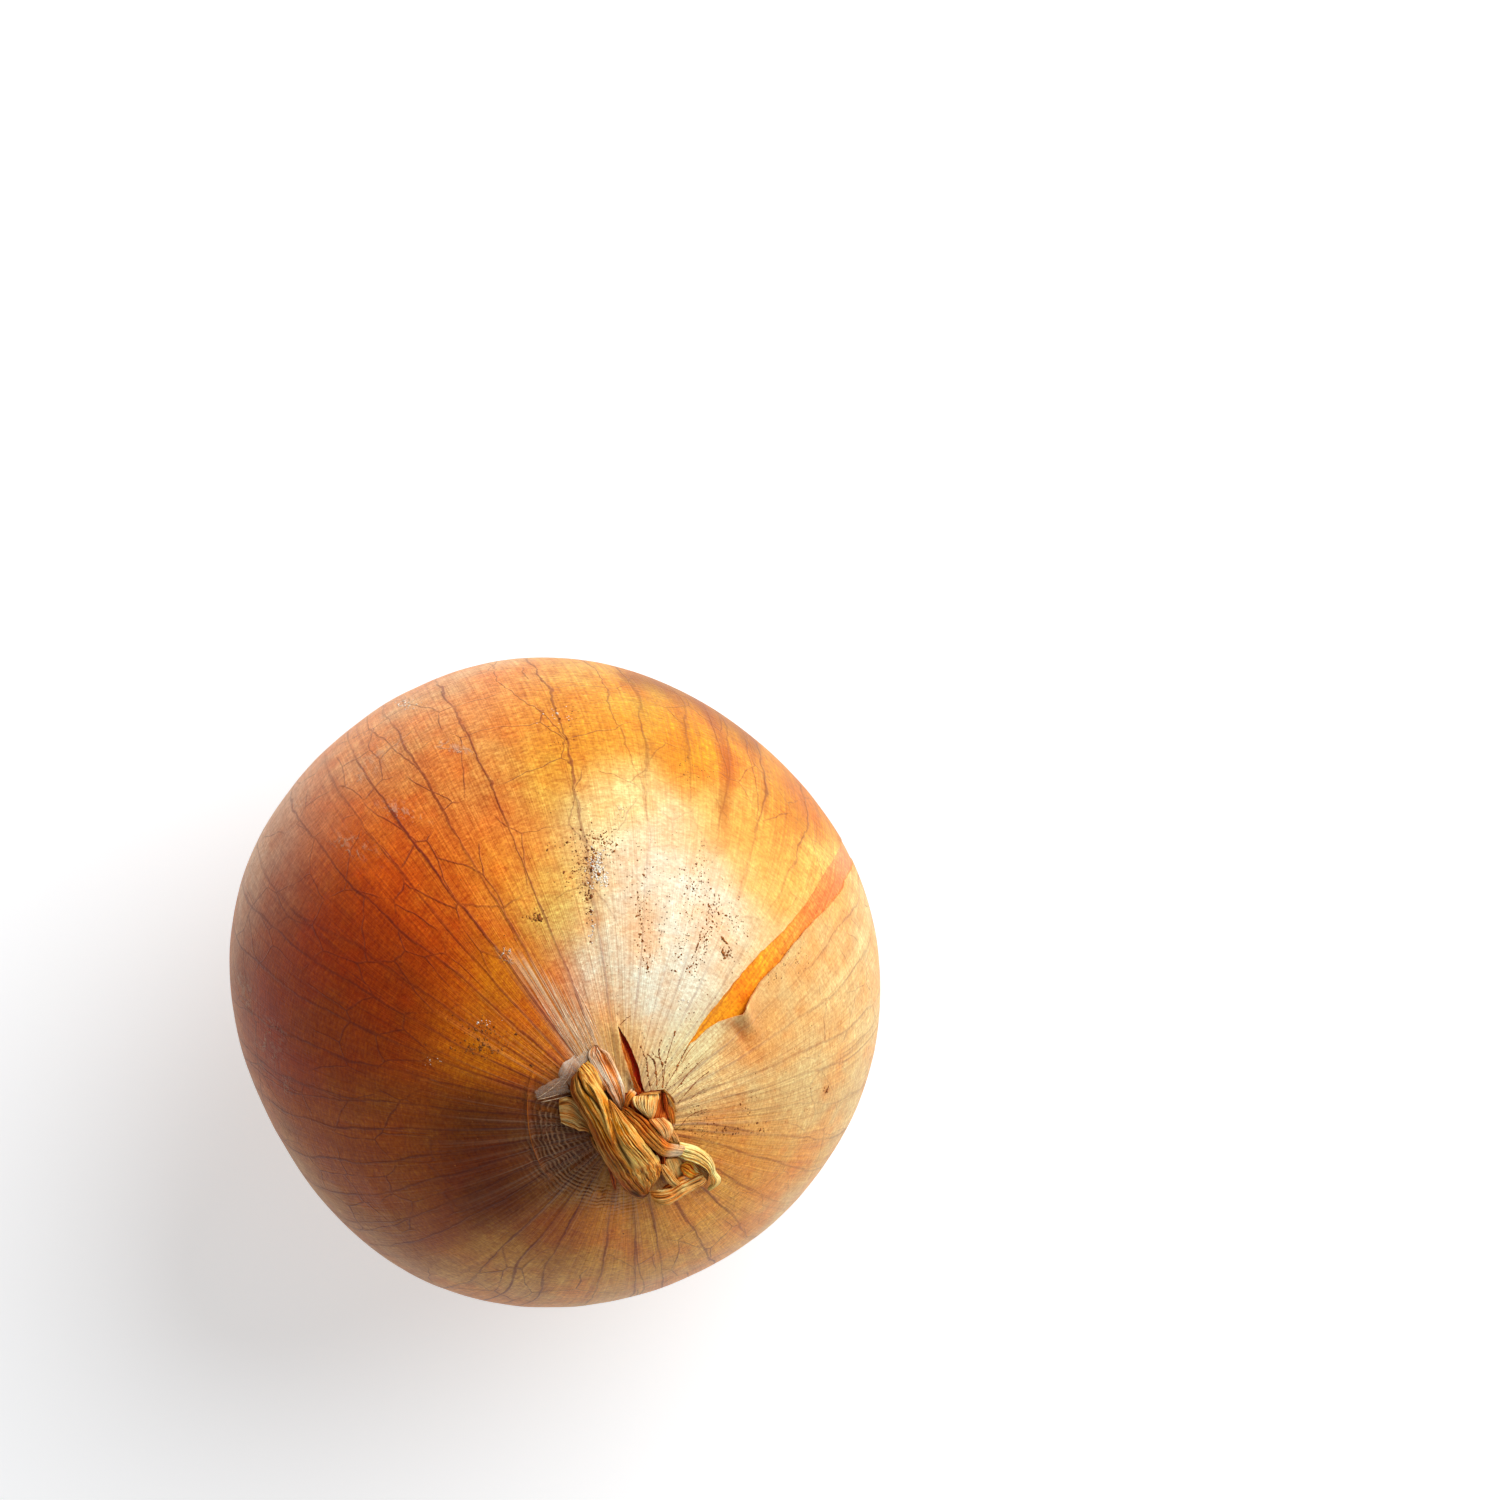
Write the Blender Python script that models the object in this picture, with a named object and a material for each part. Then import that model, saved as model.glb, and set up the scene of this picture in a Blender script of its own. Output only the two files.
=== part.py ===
"""A yellow storage onion with its dried neck and its root end, resting on the low side of the bulb.

Axes: +Z up from the floor, +X and +Y across it.  The origin is on the floor, at the
middle of the onion's footprint.  The neck leans over toward +X and -Y.
"""

from math import acos, atan2, cos, exp, pi, radians, sin, sqrt

import bpy
from mathutils import Vector

# ---------------------------------------------------------------- driving dimensions
MM = 0.001

EQUATOR_RADIUS = 40.0        # bulb, across its own axis
NECK_HALF_HEIGHT = 38.3      # centre to the shoulder under the neck
ROOT_HALF_HEIGHT = 37.2      # centre to the root end
NECK_LEAN = 26.5             # degrees between the bulb's axis and upright
NECK_HEADING = -59.0         # degrees, the way the neck leans, from +X toward +Y

NECK_RISE = 2.2              # the shoulder swells up to the neck
NECK_SPREAD = 0.17
ROOT_DIMPLE = 1.6            # the root end is a shallow dimple
ROOT_SPREAD = 0.24
BAND = 0.5                   # how far the outline's bumps fade above and below the middle
OUTLINE_COS = (-0.0010, 0.0010, -0.0030, 0.0061, 0.0053, -0.0017)
OUTLINE_SIN = (0.0, 0.0018, -0.0181, 0.0032, -0.0039, 0.0034)

SKIN_THICK = 0.35            # papery outer skin
SKIN_GAP = 0.30              # air between the outer skin and the one under it
REST_SINK = 0.55             # how much of the round underside the rest spot takes off
REST_SOFT = 0.25
REST_BLEND = 1.50

COLUMNS = 40                 # faces around the bulb
ROWS = (6.5, 8.5, 10.5, 13, 16, 20, 25, 31, 38, 46, 55, 64, 73, 82, 91, 100, 109, 118, 127,
        136, 142, 148, 153.5, 159, 164, 168)
BULB_ROWS = (2.5, 6.5, 10.5, 16, 25, 31, 38, 46, 55, 64, 73, 82, 91, 100, 109, 118, 127,
             136, 142, 148, 153.5, 159, 164, 168, 173)

# the long tear, by degrees down from the neck: (down, where around, half width), all degrees
TEAR = ((16, 102.3, 0.0), (20, 102.0, 2.4), (25, 100.6, 4.0), (31, 99.7, 4.6), (38, 98.5, 3.4),
        (46, 96.3, 2.6), (55, 94.2, 2.4), (64, 91.9, 2.8), (73, 89.0, 2.7), (82, 86.1, 2.6),
        (91, 83.4, 1.7), (100, 81.0, 0.0))
# the short slit that opens into the neck
SLIT = ((6.5, 118.0, 4.2), (8.5, 127.0, 3.8), (10.5, 135.5, 3.3), (13, 142.7, 2.0), (16, 150.8, 0.0))
SLIT_COLUMN = 5

ROOT_PLATE_EDGE = 168.5      # degrees down from the neck where the root plate ends
ROOT_PLATE_PROUD = 0.9
ROOT_COUNT = 13
ROOT_RADIUS = 0.45
ROOT_CLEAR = 1.1             # the roots keep at least this far off the floor

# dried neck leaves: x1, y1, x2, y2 of the two edges from the bulb's centre, and the height
# of the leaf's top over the skin
WIDE = ((3.3, -9.26, 4.65, -8.31, 1.3), (2.92, -10.36, 5.83, -9.27, 2.6),
        (3.13, -11.96, 6.71, -10.87, 3.2), (4.14, -13.86, 7.59, -12.49, 3.4),
        (5.15, -15.77, 9.14, -14.67, 3.4), (6.01, -17.71, 10.54, -16.62, 3.2),
        (6.92, -19.68, 11.93, -18.48, 3.0), (7.63, -21.41, 12.72, -20.21, 2.8),
        (8.54, -23.19, 12.76, -21.97, 2.3), (9.52, -24.44, 11.54, -23.63, 1.5))
BAND_LEAF = ((9.81, -13.38, 8.9, -14.13, 1.5), (10.93, -14.42, 9.95, -15.34, 2.0),
             (12.3, -15.9, 11.4, -16.77, 2.3), (13.51, -17.3, 12.62, -18.16, 2.3),
             (14.45, -18.2, 13.69, -19.22, 2.1), (15.22, -18.5, 14.73, -19.61, 1.9),
             (15.75, -18.7, 15.3, -19.63, 1.7))
KNOT = ((10.12, -12.39, 10.45, -13.0, 1.8), (11.21, -11.97, 11.6, -13.6, 2.3),
        (12.42, -11.96, 12.75, -14.6, 2.3), (13.48, -12.01, 13.6, -15.7, 1.5),
        (14.57, -12.66, 14.5, -16.6, 2.3), (15.63, -14.41, 15.4, -16.3, 1.6))
CURL = ((16.46, -18.35, 16.21, -19.7, 1.3), (17.65, -18.5, 17.37, -20.04, 2.0),
        (19.01, -19.51, 18.46, -20.62, 2.4), (19.96, -20.82, 19.14, -21.36, 2.4),
        (20.5, -22.47, 19.27, -22.04, 2.0), (19.53, -23.78, 18.45, -22.6, 1.7),
        (17.89, -24.0, 17.35, -22.7, 1.6), (16.25, -24.47, 15.95, -23.2, 1.5),
        (14.47, -25.2, 14.45, -24.1, 1.4), (13.1, -25.32, 12.7, -24.3, 1.2))
SLIVER = ((13.45, -20.57, 14.17, -20.81, 1.6), (13.9, -21.64, 14.65, -21.67, 1.9),
          (14.43, -22.72, 15.05, -22.38, 1.9), (14.7, -23.3, 15.3, -22.95, 1.7))
SCRAP = ((1.42, -12.0, 1.51, -15.55, 0.9), (1.94, -12.05, 1.95, -15.7, 1.0),
         (2.4, -12.6, 2.5, -15.8, 1.0), (2.75, -13.4, 3.1, -15.9, 0.95))
FILM = ((0.63, -8.98, 0.95, -10.11, 0.9), (1.34, -8.39, 1.66, -9.97, 1.0),
        (2.05, -7.93, 2.35, -9.29, 1.0), (2.6, -7.24, 2.85, -8.52, 0.9))

# ---------------------------------------------------------------- the bulb's own axes
LEAN = radians(NECK_LEAN)
HEADING = radians(NECK_HEADING)
AXIS = Vector((sin(LEAN) * cos(HEADING), sin(LEAN) * sin(HEADING), cos(LEAN)))
LEVEL = Vector((cos(HEADING), sin(HEADING), 0.0))
SIDE_A = cos(LEAN) * LEVEL - sin(LEAN) * Vector((0.0, 0.0, 1.0))
SIDE_B = AXIS.cross(SIDE_A)
LOWEST = sqrt((EQUATOR_RADIUS * sin(LEAN)) ** 2 + (ROOT_HALF_HEIGHT * cos(LEAN)) ** 2)
CENTRE = Vector((-0.21, -0.08, LOWEST - REST_SINK))


def direction(around, down):
    """Unit vector at so many degrees around the axis and down from the neck."""
    a, d = radians(around), radians(down)
    return cos(d) * AXIS + sin(d) * (cos(a) * SIDE_A + sin(a) * SIDE_B)


def skin_radius(d):
    """Distance from the bulb's centre to the outside of the skin, along unit vector d."""
    c = max(-1.0, min(1.0, d.dot(AXIS)))
    half = NECK_HALF_HEIGHT if c > 0 else ROOT_HALF_HEIGHT
    r = 1.0 / sqrt((1 - c * c) / EQUATOR_RADIUS ** 2 + c * c / half ** 2)
    down = acos(c)
    r += NECK_RISE * exp(-((down / NECK_SPREAD) ** 2))
    r -= ROOT_DIMPLE * exp(-(((pi - down) / ROOT_SPREAD) ** 2))
    turn = atan2(d.y, d.x)
    bumps = sum(OUTLINE_COS[k] * cos(k * turn) + OUTLINE_SIN[k] * sin(k * turn)
                for k in range(len(OUTLINE_COS)))
    return r * (1 + exp(-((d.z / BAND) ** 2)) * bumps)


def settle(p, inset):
    """Flatten the underside into the spot the onion rests on."""
    z = p.z
    if z < REST_BLEND + inset:
        low = REST_SOFT + inset
        z = inset if z < low else inset + (z - low) * REST_BLEND / (REST_BLEND - REST_SOFT)
    return Vector((p.x, p.y, z))


def on_skin(d, over):
    """Point so many millimetres over the outer skin (under it when negative)."""
    p = CENTRE + d * (skin_radius(d) + over)
    return settle(p, max(0.0, -over)) if d.z < -0.5 and over <= 0 else p


def over_spot(x, y, over):
    """Point over the skin whose place across the floor, from the bulb's centre, is x, y."""
    z = sqrt(max(1.0, EQUATOR_RADIUS ** 2 - x * x - y * y))
    for _ in range(25):
        d = Vector((x, y, z)).normalized()
        reach = skin_radius(d) + over
        z = sqrt(max(1.0, reach * reach - x * x - y * y))
    return CENTRE + Vector((x, y, z))


# ---------------------------------------------------------------- building
def clear_scene():
    for ob in list(bpy.data.objects):
        bpy.data.objects.remove(ob)


def material(name, colour, rough, coat=0.0):
    mat = bpy.data.materials.new(name)
    mat.use_nodes = True
    shader = mat.node_tree.nodes["Principled BSDF"]
    shader.inputs["Base Color"].default_value = (*colour, 1.0)
    shader.inputs["Roughness"].default_value = rough
    shader.inputs["Coat Weight"].default_value = coat
    mat.diffuse_color = (*colour, 1.0)
    return mat


def add_object(name, verts, faces, mat, smooth=True):
    mesh = bpy.data.meshes.new(name)
    mesh.from_pydata([tuple(c * MM for c in v) for v in verts], [], faces)
    mesh.materials.append(mat)
    mesh.validate()
    mesh.update()
    for f in mesh.polygons:
        f.use_smooth = smooth
    ob = bpy.data.objects.new(name, mesh)
    bpy.context.scene.collection.objects.link(ob)
    return ob


def ramp(table, down):
    """Where the tear's middle is and its half width, at so many degrees down."""
    if down <= table[0][0]:
        return table[0][1], 0.0 if down < table[0][0] else table[0][2]
    for (d0, a0, w0), (d1, a1, w1) in zip(table, table[1:]):
        if down <= d1:
            t = (down - d0) / (d1 - d0)
            return a0 + t * (a1 - a0), w0 + t * (w1 - w0)
    return table[-1][1], 0.0


def column_angles(down):
    """Angles of the columns in one row: column 0 follows the tear, another one the slit."""
    tear = ramp(TEAR, down)[0]
    slit = ramp(SLIT, down)[0]
    angles = []
    for i in range(COLUMNS):
        if i <= SLIT_COLUMN:
            angles.append(tear + (slit - tear) * i / SLIT_COLUMN)
        else:
            t = (i - SLIT_COLUMN) / (COLUMNS - SLIT_COLUMN)
            angles.append(slit + (tear + 360.0 - slit) * t)
    return angles


def build_outer_skin(mat):
    """Thin shell, open at the neck and at the roots, with the tear and the slit through it."""
    verts, faces = [], []
    left, right = [], []     # vertex numbers by row and column, before and after each opening
    outer_dirs = []

    def add(around, down):
        d = direction(around, down)
        outer_dirs.append(d)
        verts.append(on_skin(d, 0.0))
        return len(verts) - 1

    for down in ROWS:
        angles = column_angles(down)
        lo, hi = [], []
        for i, a in enumerate(angles):
            w = 0.0
            if i == 0 and TEAR[0][0] < down < TEAR[-1][0]:
                w = ramp(TEAR, down)[1]
            if i == SLIT_COLUMN and down < SLIT[-1][0]:
                w = ramp(SLIT, down)[1]
            if w > 0:
                lo.append(add(a - w, down))
                hi.append(add(a + w, down))
            else:
                k = add(a, down)
                lo.append(k)
                hi.append(k)
        left.append(lo)
        right.append(hi)
    count = len(verts)
    verts.extend(on_skin(d, -SKIN_THICK) for d in outer_dirs)

    edge_faces = {}

    def quad(a, b, c, d):
        ring = [a, b, c, d]
        ring = [v for n, v in enumerate(ring) if v != ring[n - 1]]
        faces.append(tuple(ring))
        faces.append(tuple(v + count for v in reversed(ring)))
        for n, v in enumerate(ring):
            w = ring[(n + 1) % len(ring)]
            if (w, v) in edge_faces:
                del edge_faces[(w, v)]
            else:
                edge_faces[(v, w)] = True

    for j in range(len(ROWS) - 1):
        for i in range(COLUMNS):
            n = (i + 1) % COLUMNS
            quad(right[j][i], right[j + 1][i], left[j + 1][n], left[j][n])
    for a, b in edge_faces:
        faces.append((b, a, a + count, b + count))
    return add_object("outer_skin", verts, faces, mat)


def build_bulb(mat):
    """The whole bulb under the torn skin, with the smooth under-skin as its surface."""
    under = -(SKIN_THICK + SKIN_GAP)
    verts = [on_skin(direction(0, 0), under)]
    faces, rings = [], []
    for down in BULB_ROWS:
        ring = []
        for a in column_angles(down):
            ring.append(len(verts))
            verts.append(on_skin(direction(a, down), under))
        rings.append(ring)
    verts.append(on_skin(direction(0, 180), under))
    last = len(verts) - 1
    for i in range(COLUMNS):
        n = (i + 1) % COLUMNS
        faces.append((0, rings[0][i], rings[0][n]))
        faces.append((last, rings[-1][n], rings[-1][i]))
        for upper, lower in zip(rings, rings[1:]):
            faces.append((upper[i], lower[i], lower[n], upper[n]))
    return add_object("bulb", verts, faces, mat)


def smooth_between(stations, t):
    """Catmull-Rom point of the stations, t from 0 to 1."""
    n = len(stations) - 1
    s = min(n - 1e-9, t * n)
    i = int(s)
    f = s - i
    p0, p1 = stations[max(0, i - 1)], stations[i]
    p2, p3 = stations[i + 1], stations[min(n, i + 2)]
    return [0.5 * (2 * b + (c - a) * f + (2 * a - 5 * b + 4 * c - d) * f * f
                   + (3 * b - a - 3 * c + d) * f ** 3) for a, b, c, d in zip(p0, p1, p2, p3)]


def build_leaf(name, stations, thick, crown, along, across, mat, floor=0.35):
    """Dried strip lying over the skin: crowned across its width, tapered at both ends."""
    top, bottom = [], []
    for j in range(along + 1):
        x1, y1, x2, y2, over = smooth_between(stations, j / along)
        end = min(1.0, 4.0 * min(j, along - j) / along)
        row_t, row_b = [], []
        for i in range(across + 1):
            u = i / across
            bulge = 1 - (2 * u - 1) ** 2
            x, y = x1 + (x2 - x1) * u, y1 + (y2 - y1) * u
            high = over - crown * (1 - bulge)
            body = thick * (0.35 + 0.65 * bulge * (0.5 + 0.5 * end))
            high = max(high, floor + 0.25)
            low = max(floor, high - body)
            row_t.append(over_spot(x, y, high))
            row_b.append(over_spot(x, y, low))
        top.append(row_t)
        bottom.append(row_b)
    wide = across + 1
    verts = [p for row in top for p in row] + [p for row in bottom for p in row]
    shift = wide * (along + 1)
    faces = []
    first = top[1][0] - top[0][0]
    second = top[0][1] - top[0][0]
    flip = first.cross(second).z < 0
    at = lambda j, i: j * wide + i

    def put(*ring):
        faces.append(tuple(reversed(ring)) if flip else tuple(ring))

    for j in range(along):
        for i in range(across):
            put(at(j, i), at(j + 1, i), at(j + 1, i + 1), at(j, i + 1))
            put(at(j, i + 1) + shift, at(j + 1, i + 1) + shift, at(j + 1, i) + shift, at(j, i) + shift)
    for j in range(along):
        put(at(j + 1, 0), at(j, 0), at(j, 0) + shift, at(j + 1, 0) + shift)
        put(at(j, across), at(j + 1, across), at(j + 1, across) + shift, at(j, across) + shift)
    for i in range(across):
        put(at(0, i), at(0, i + 1), at(0, i + 1) + shift, at(0, i) + shift)
        put(at(along, i + 1), at(along, i), at(along, i) + shift, at(along, i + 1) + shift)
    return add_object(name, verts, faces, mat)


def root_path(k):
    """Middle line of one short root: out of the plate, then bent along the underside."""
    around = k * 137.5
    start = 180.0 - (2.2 + 6.0 * sqrt((k + 0.5) / ROOT_COUNT))
    reach = 6.0 + 2.5 * (k % 3)
    points = []
    for s in range(4):
        t = s / 3
        down = start - reach * t * t
        over = 0.1 + 2.2 * t ** 0.8 + 0.4 * ((k * 5) % 3) * t
        p = on_skin_free(direction(around + 10 * t * (1 - 2 * (k % 2)), down), over)
        if p.z < ROOT_CLEAR + 1.5:
            p.z = ROOT_CLEAR + 1.5 * exp((p.z - ROOT_CLEAR - 1.5) / 1.5)
        points.append(p)
    return points


def on_skin_free(d, over):
    return CENTRE + d * (skin_radius(d) + over)


def tube(points, radius, sides):
    verts, faces = [], []
    n = len(points)
    for j, p in enumerate(points):
        ahead = (points[min(n - 1, j + 1)] - points[max(0, j - 1)]).normalized()
        a = ahead.orthogonal().normalized() if j == 0 else (last - ahead * last.dot(ahead)).normalized()
        last = a
        b = ahead.cross(a)
        r = radius * (1.15 - 0.6 * j / (n - 1))
        for i in range(sides):
            t = 2 * pi * i / sides
            verts.append(p + a * (r * cos(t)) + b * (r * sin(t)))
    for j in range(n - 1):
        for i in range(sides):
            k = (i + 1) % sides
            faces.append((j * sides + i, j * sides + k, (j + 1) * sides + k, (j + 1) * sides + i))
    faces.append(tuple(reversed(range(sides))))
    faces.append(tuple((n - 1) * sides + i for i in range(sides)))
    return verts, faces


def build_root_plate(mat):
    """Corky disc on the root end with a tuft of short dried roots, one body."""
    around_n = 18
    downs = (169.6, 172.0, 176.0)
    verts, faces = [], []
    rings_out, rings_in = [], []
    for down in downs:
        t = (180.0 - down) / (180.0 - downs[0])
        over = ROOT_PLATE_PROUD * (1 - 0.75 * t ** 3)
        ro, ri = [], []
        for i in range(around_n):
            d = direction(360.0 * i / around_n, down)
            ro.append(len(verts))
            verts.append(on_skin_free(d, over))
            ri.append(len(verts))
            verts.append(on_skin_free(d, -SKIN_THICK + 0.05))
        rings_out.append(ro)
        rings_in.append(ri)
    tip_out = len(verts)
    verts.append(on_skin_free(direction(0, 180), ROOT_PLATE_PROUD))
    tip_in = len(verts)
    verts.append(on_skin_free(direction(0, 180), -SKIN_THICK + 0.05))
    for i in range(around_n):
        k = (i + 1) % around_n
        for a, b in zip(rings_out, rings_out[1:]):
            faces.append((a[i], b[i], b[k], a[k]))
        for a, b in zip(rings_in, rings_in[1:]):
            faces.append((a[k], b[k], b[i], a[i]))
        faces.append((rings_out[-1][i], tip_out, rings_out[-1][k]))
        faces.append((rings_in[-1][k], tip_in, rings_in[-1][i]))
        faces.append((rings_in[0][i], rings_out[0][i], rings_out[0][k], rings_in[0][k]))
    plate = add_object("root_plate", verts, faces, mat)
    for k in range(ROOT_COUNT):
        v, f = tube(root_path(k), ROOT_RADIUS, 5)
        root = add_object("root_cut", v, f, mat)
        mod = plate.modifiers.new("join_%02d" % k, "BOOLEAN")
        mod.operation = "UNION"
        mod.solver = "EXACT"
        mod.object = root
        bpy.context.view_layer.update()
        deps = bpy.context.evaluated_depsgraph_get()
        joined = bpy.data.meshes.new_from_object(plate.evaluated_get(deps))
        plate.modifiers.clear()
        plate.data = joined
        bpy.data.objects.remove(root)
    for f in plate.data.polygons:
        f.use_smooth = True
    plate.data.name = "root_plate"
    return plate


def build():
    clear_scene()
    golden = material("papery_skin", (0.66, 0.28, 0.055), 0.42, 0.15)
    orange = material("under_skin", (0.80, 0.33, 0.035), 0.34, 0.25)
    straw = material("straw_leaf", (0.42, 0.27, 0.055), 0.62)
    tan = material("tan_leaf", (0.50, 0.24, 0.075), 0.62)
    ribbed = material("knot_leaf", (0.56, 0.33, 0.10), 0.62)
    pale = material("pale_leaf", (0.72, 0.52, 0.20), 0.58)
    shred = material("shredded_leaf", (0.46, 0.28, 0.13), 0.66)
    membrane = material("clear_film", (0.74, 0.66, 0.56), 0.35)
    sliver = material("thin_leaf", (0.60, 0.34, 0.12), 0.60)
    corky = material("corky_root", (0.14, 0.085, 0.045), 0.85)

    build_bulb(orange)
    build_outer_skin(golden)
    build_leaf("neck_leaf_wide", WIDE, 2.3, 0.9, 13, 5, straw)
    build_leaf("neck_leaf_band", BAND_LEAF, 1.1, 0.35, 9, 3, tan)
    build_leaf("neck_leaf_knot", KNOT, 1.0, 0.2, 8, 3, ribbed)
    build_leaf("neck_leaf_curled", CURL, 0.9, 0.3, 16, 3, pale)
    build_leaf("neck_sliver", SLIVER, 0.7, 0.15, 5, 2, sliver)
    build_leaf("neck_scrap", SCRAP, 0.5, 0.15, 4, 4, shred)
    build_leaf("film_scrap", FILM, 0.3, 0.1, 4, 3, membrane)
    build_root_plate(corky)


build()
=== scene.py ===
"""Looks for a yellow storage onion: torn papery skin over its orange under-skin, dried neck, roots.

Lengths below are in millimetres until a mesh is made.  Places on the bulb are given as degrees
around its axis and degrees down from the neck, or as a place in the camera's 1500 x 1500 frame.
"""

from math import cos, pi, radians, sin, sqrt

import bpy
import numpy as np
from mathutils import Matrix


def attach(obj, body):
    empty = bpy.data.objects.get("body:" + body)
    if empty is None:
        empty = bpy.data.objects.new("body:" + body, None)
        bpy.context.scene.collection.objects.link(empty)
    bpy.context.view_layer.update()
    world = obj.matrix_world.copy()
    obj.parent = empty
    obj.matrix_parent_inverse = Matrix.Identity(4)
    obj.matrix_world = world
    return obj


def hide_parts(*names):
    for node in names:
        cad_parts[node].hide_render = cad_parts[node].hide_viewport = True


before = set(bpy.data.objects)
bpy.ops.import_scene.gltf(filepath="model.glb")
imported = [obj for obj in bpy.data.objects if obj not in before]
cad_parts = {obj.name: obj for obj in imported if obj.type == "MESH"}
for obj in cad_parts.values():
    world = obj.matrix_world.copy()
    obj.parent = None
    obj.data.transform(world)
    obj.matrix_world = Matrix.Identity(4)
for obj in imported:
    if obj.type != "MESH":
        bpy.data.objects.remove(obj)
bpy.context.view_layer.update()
MM = 0.001

# ------------------------------------------------------------------ the bulb's shape
EQUATOR, NECK_HALF, ROOT_HALF = 40.0, 38.3, 37.2
LEAN, HEADING = radians(26.5), radians(-59.0)
AXIS = np.array([sin(LEAN) * cos(HEADING), sin(LEAN) * sin(HEADING), cos(LEAN)])
LEVEL = np.array([cos(HEADING), sin(HEADING), 0.0])
SIDE_A = cos(LEAN) * LEVEL - sin(LEAN) * np.array([0.0, 0.0, 1.0])
SIDE_B = np.cross(AXIS, SIDE_A)
LOWEST = sqrt((EQUATOR * sin(LEAN)) ** 2 + (ROOT_HALF * cos(LEAN)) ** 2)
CENTRE = np.array([-0.21, -0.08, LOWEST - 0.55])
OUT_COS = (-0.0010, 0.0010, -0.0030, 0.0061, 0.0053, -0.0017)
OUT_SIN = (0.0, 0.0018, -0.0181, 0.0032, -0.0039, 0.0034)

# camera: straight above, the frame 184.5 mm wide at the height of the bulb's centre
LENS, SENSOR = 180.0, 36.0
PX = 0.123
FAR = 1500 * PX * LENS / SENSOR
CAM = CENTRE + np.array([24.13, 28.63, FAR])


def direction(around, down):
    """Unit vectors for arrays of degrees around and degrees down."""
    a, d = np.radians(around), np.radians(down)
    return (np.cos(d)[..., None] * AXIS
            + np.sin(d)[..., None] * (np.cos(a)[..., None] * SIDE_A + np.sin(a)[..., None] * SIDE_B))


def skin_radius(d):
    c = np.clip(d @ AXIS, -1, 1)
    half = np.where(c > 0, NECK_HALF, ROOT_HALF)
    r = 1 / np.sqrt((1 - c * c) / EQUATOR ** 2 + c * c / half ** 2)
    down = np.arccos(c)
    r = r + 2.2 * np.exp(-((down / 0.17) ** 2)) - 1.6 * np.exp(-(((pi - down) / 0.24) ** 2))
    turn = np.arctan2(d[..., 1], d[..., 0])
    bumps = sum(OUT_COS[k] * np.cos(k * turn) + OUT_SIN[k] * np.sin(k * turn) for k in range(6))
    return r * (1 + np.exp(-((d[..., 2] / 0.5) ** 2)) * bumps)


def settle(p, inset):
    z = p[..., 2]
    low, blend = 0.25 + inset, 1.5 + inset
    flat = np.where(z < low, inset, inset + (z - low) * 1.5 / 1.25)
    out = p.copy()
    out[..., 2] = np.where(z < blend, flat, z)
    return out


def over_spot(x, y, over):
    """Points over the skin whose places across the floor, from the bulb's centre, are x, y."""
    z = np.sqrt(np.maximum(1.0, EQUATOR ** 2 - x * x - y * y))
    for _ in range(14):
        v = np.stack([x, y, z], -1)
        d = v / np.linalg.norm(v, axis=-1, keepdims=True)
        reach = skin_radius(d) + over
        z = np.sqrt(np.maximum(1.0, reach * reach - x * x - y * y))
    return CENTRE + np.stack([x, y, z], -1)


def to_frame(p):
    """Where points show in the camera's frame, x right and y down."""
    v = p - CAM
    s = -FAR / v[..., 2]
    return 750 + v[..., 0] * s / PX, 750 - v[..., 1] * s / PX


def from_frame(px, py, over):
    """Points over the skin that show at px, py, as places from the bulb's centre."""
    px, py, over = np.asarray(px, float), np.asarray(py, float), np.asarray(over, float)
    aim = np.stack([CAM[0] + (px - 750) * PX, CAM[1] - (py - 750) * PX,
                    np.full(px.shape, CENTRE[2])], -1)
    ray = aim - CAM
    ray = ray / np.linalg.norm(ray, axis=-1, keepdims=True)
    far = -(ray @ (CAM - CENTRE))
    near = far - 60
    for _ in range(40):
        mid = (near + far) / 2
        v = CAM + ray * mid[..., None] - CENTRE
        n = np.linalg.norm(v, axis=-1)
        inside = n < skin_radius(v / n[..., None]) + over
        far, near = np.where(inside, mid, far), np.where(inside, near, mid)
    v = CAM + ray * ((near + far) / 2)[..., None] - CENTRE
    return v


# ------------------------------------------------------------------ noise in code
def hashed(ix, iy, iz, seed):
    h = (ix.astype(np.int64) * 374761393 + iy.astype(np.int64) * 668265263
         + iz.astype(np.int64) * 2147483647 + seed * 1274126177) & 0xFFFFFFFF
    h = ((h ^ (h >> 13)) * 1274126177) & 0xFFFFFFFF
    h = ((h ^ (h >> 16)) * 2246822519) & 0xFFFFFFFF
    return ((h ^ (h >> 15)) & 0xFFFFFF) / float(0xFFFFFF)


def noise3(x, y, z, seed=0):
    """Value noise from 0 to 1."""
    x, y, z = np.broadcast_arrays(np.asarray(x, float), np.asarray(y, float), np.asarray(z, float))
    fx, fy, fz = np.floor(x), np.floor(y), np.floor(z)
    tx, ty, tz = x - fx, y - fy, z - fz
    tx, ty, tz = (t * t * t * (t * (t * 6 - 15) + 10) for t in (tx, ty, tz))
    out = 0
    for i in (0, 1):
        for j in (0, 1):
            for k in (0, 1):
                w = (tx if i else 1 - tx) * (ty if j else 1 - ty) * (tz if k else 1 - tz)
                out = out + w * hashed(fx + i, fy + j, fz + k, seed)
    return out


def fbm(x, y, z, seed=0, octaves=3):
    total, size, norm = 0, 1.0, 0.0
    for o in range(octaves):
        total = total + size * noise3(x * 2 ** o, y * 2 ** o, z * 2 ** o, seed + 17 * o)
        norm += size
        size *= 0.5
    return total / norm


def smooth(lo, hi, x):
    t = np.clip((x - lo) / (hi - lo), 0, 1)
    return t * t * (3 - 2 * t)


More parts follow.
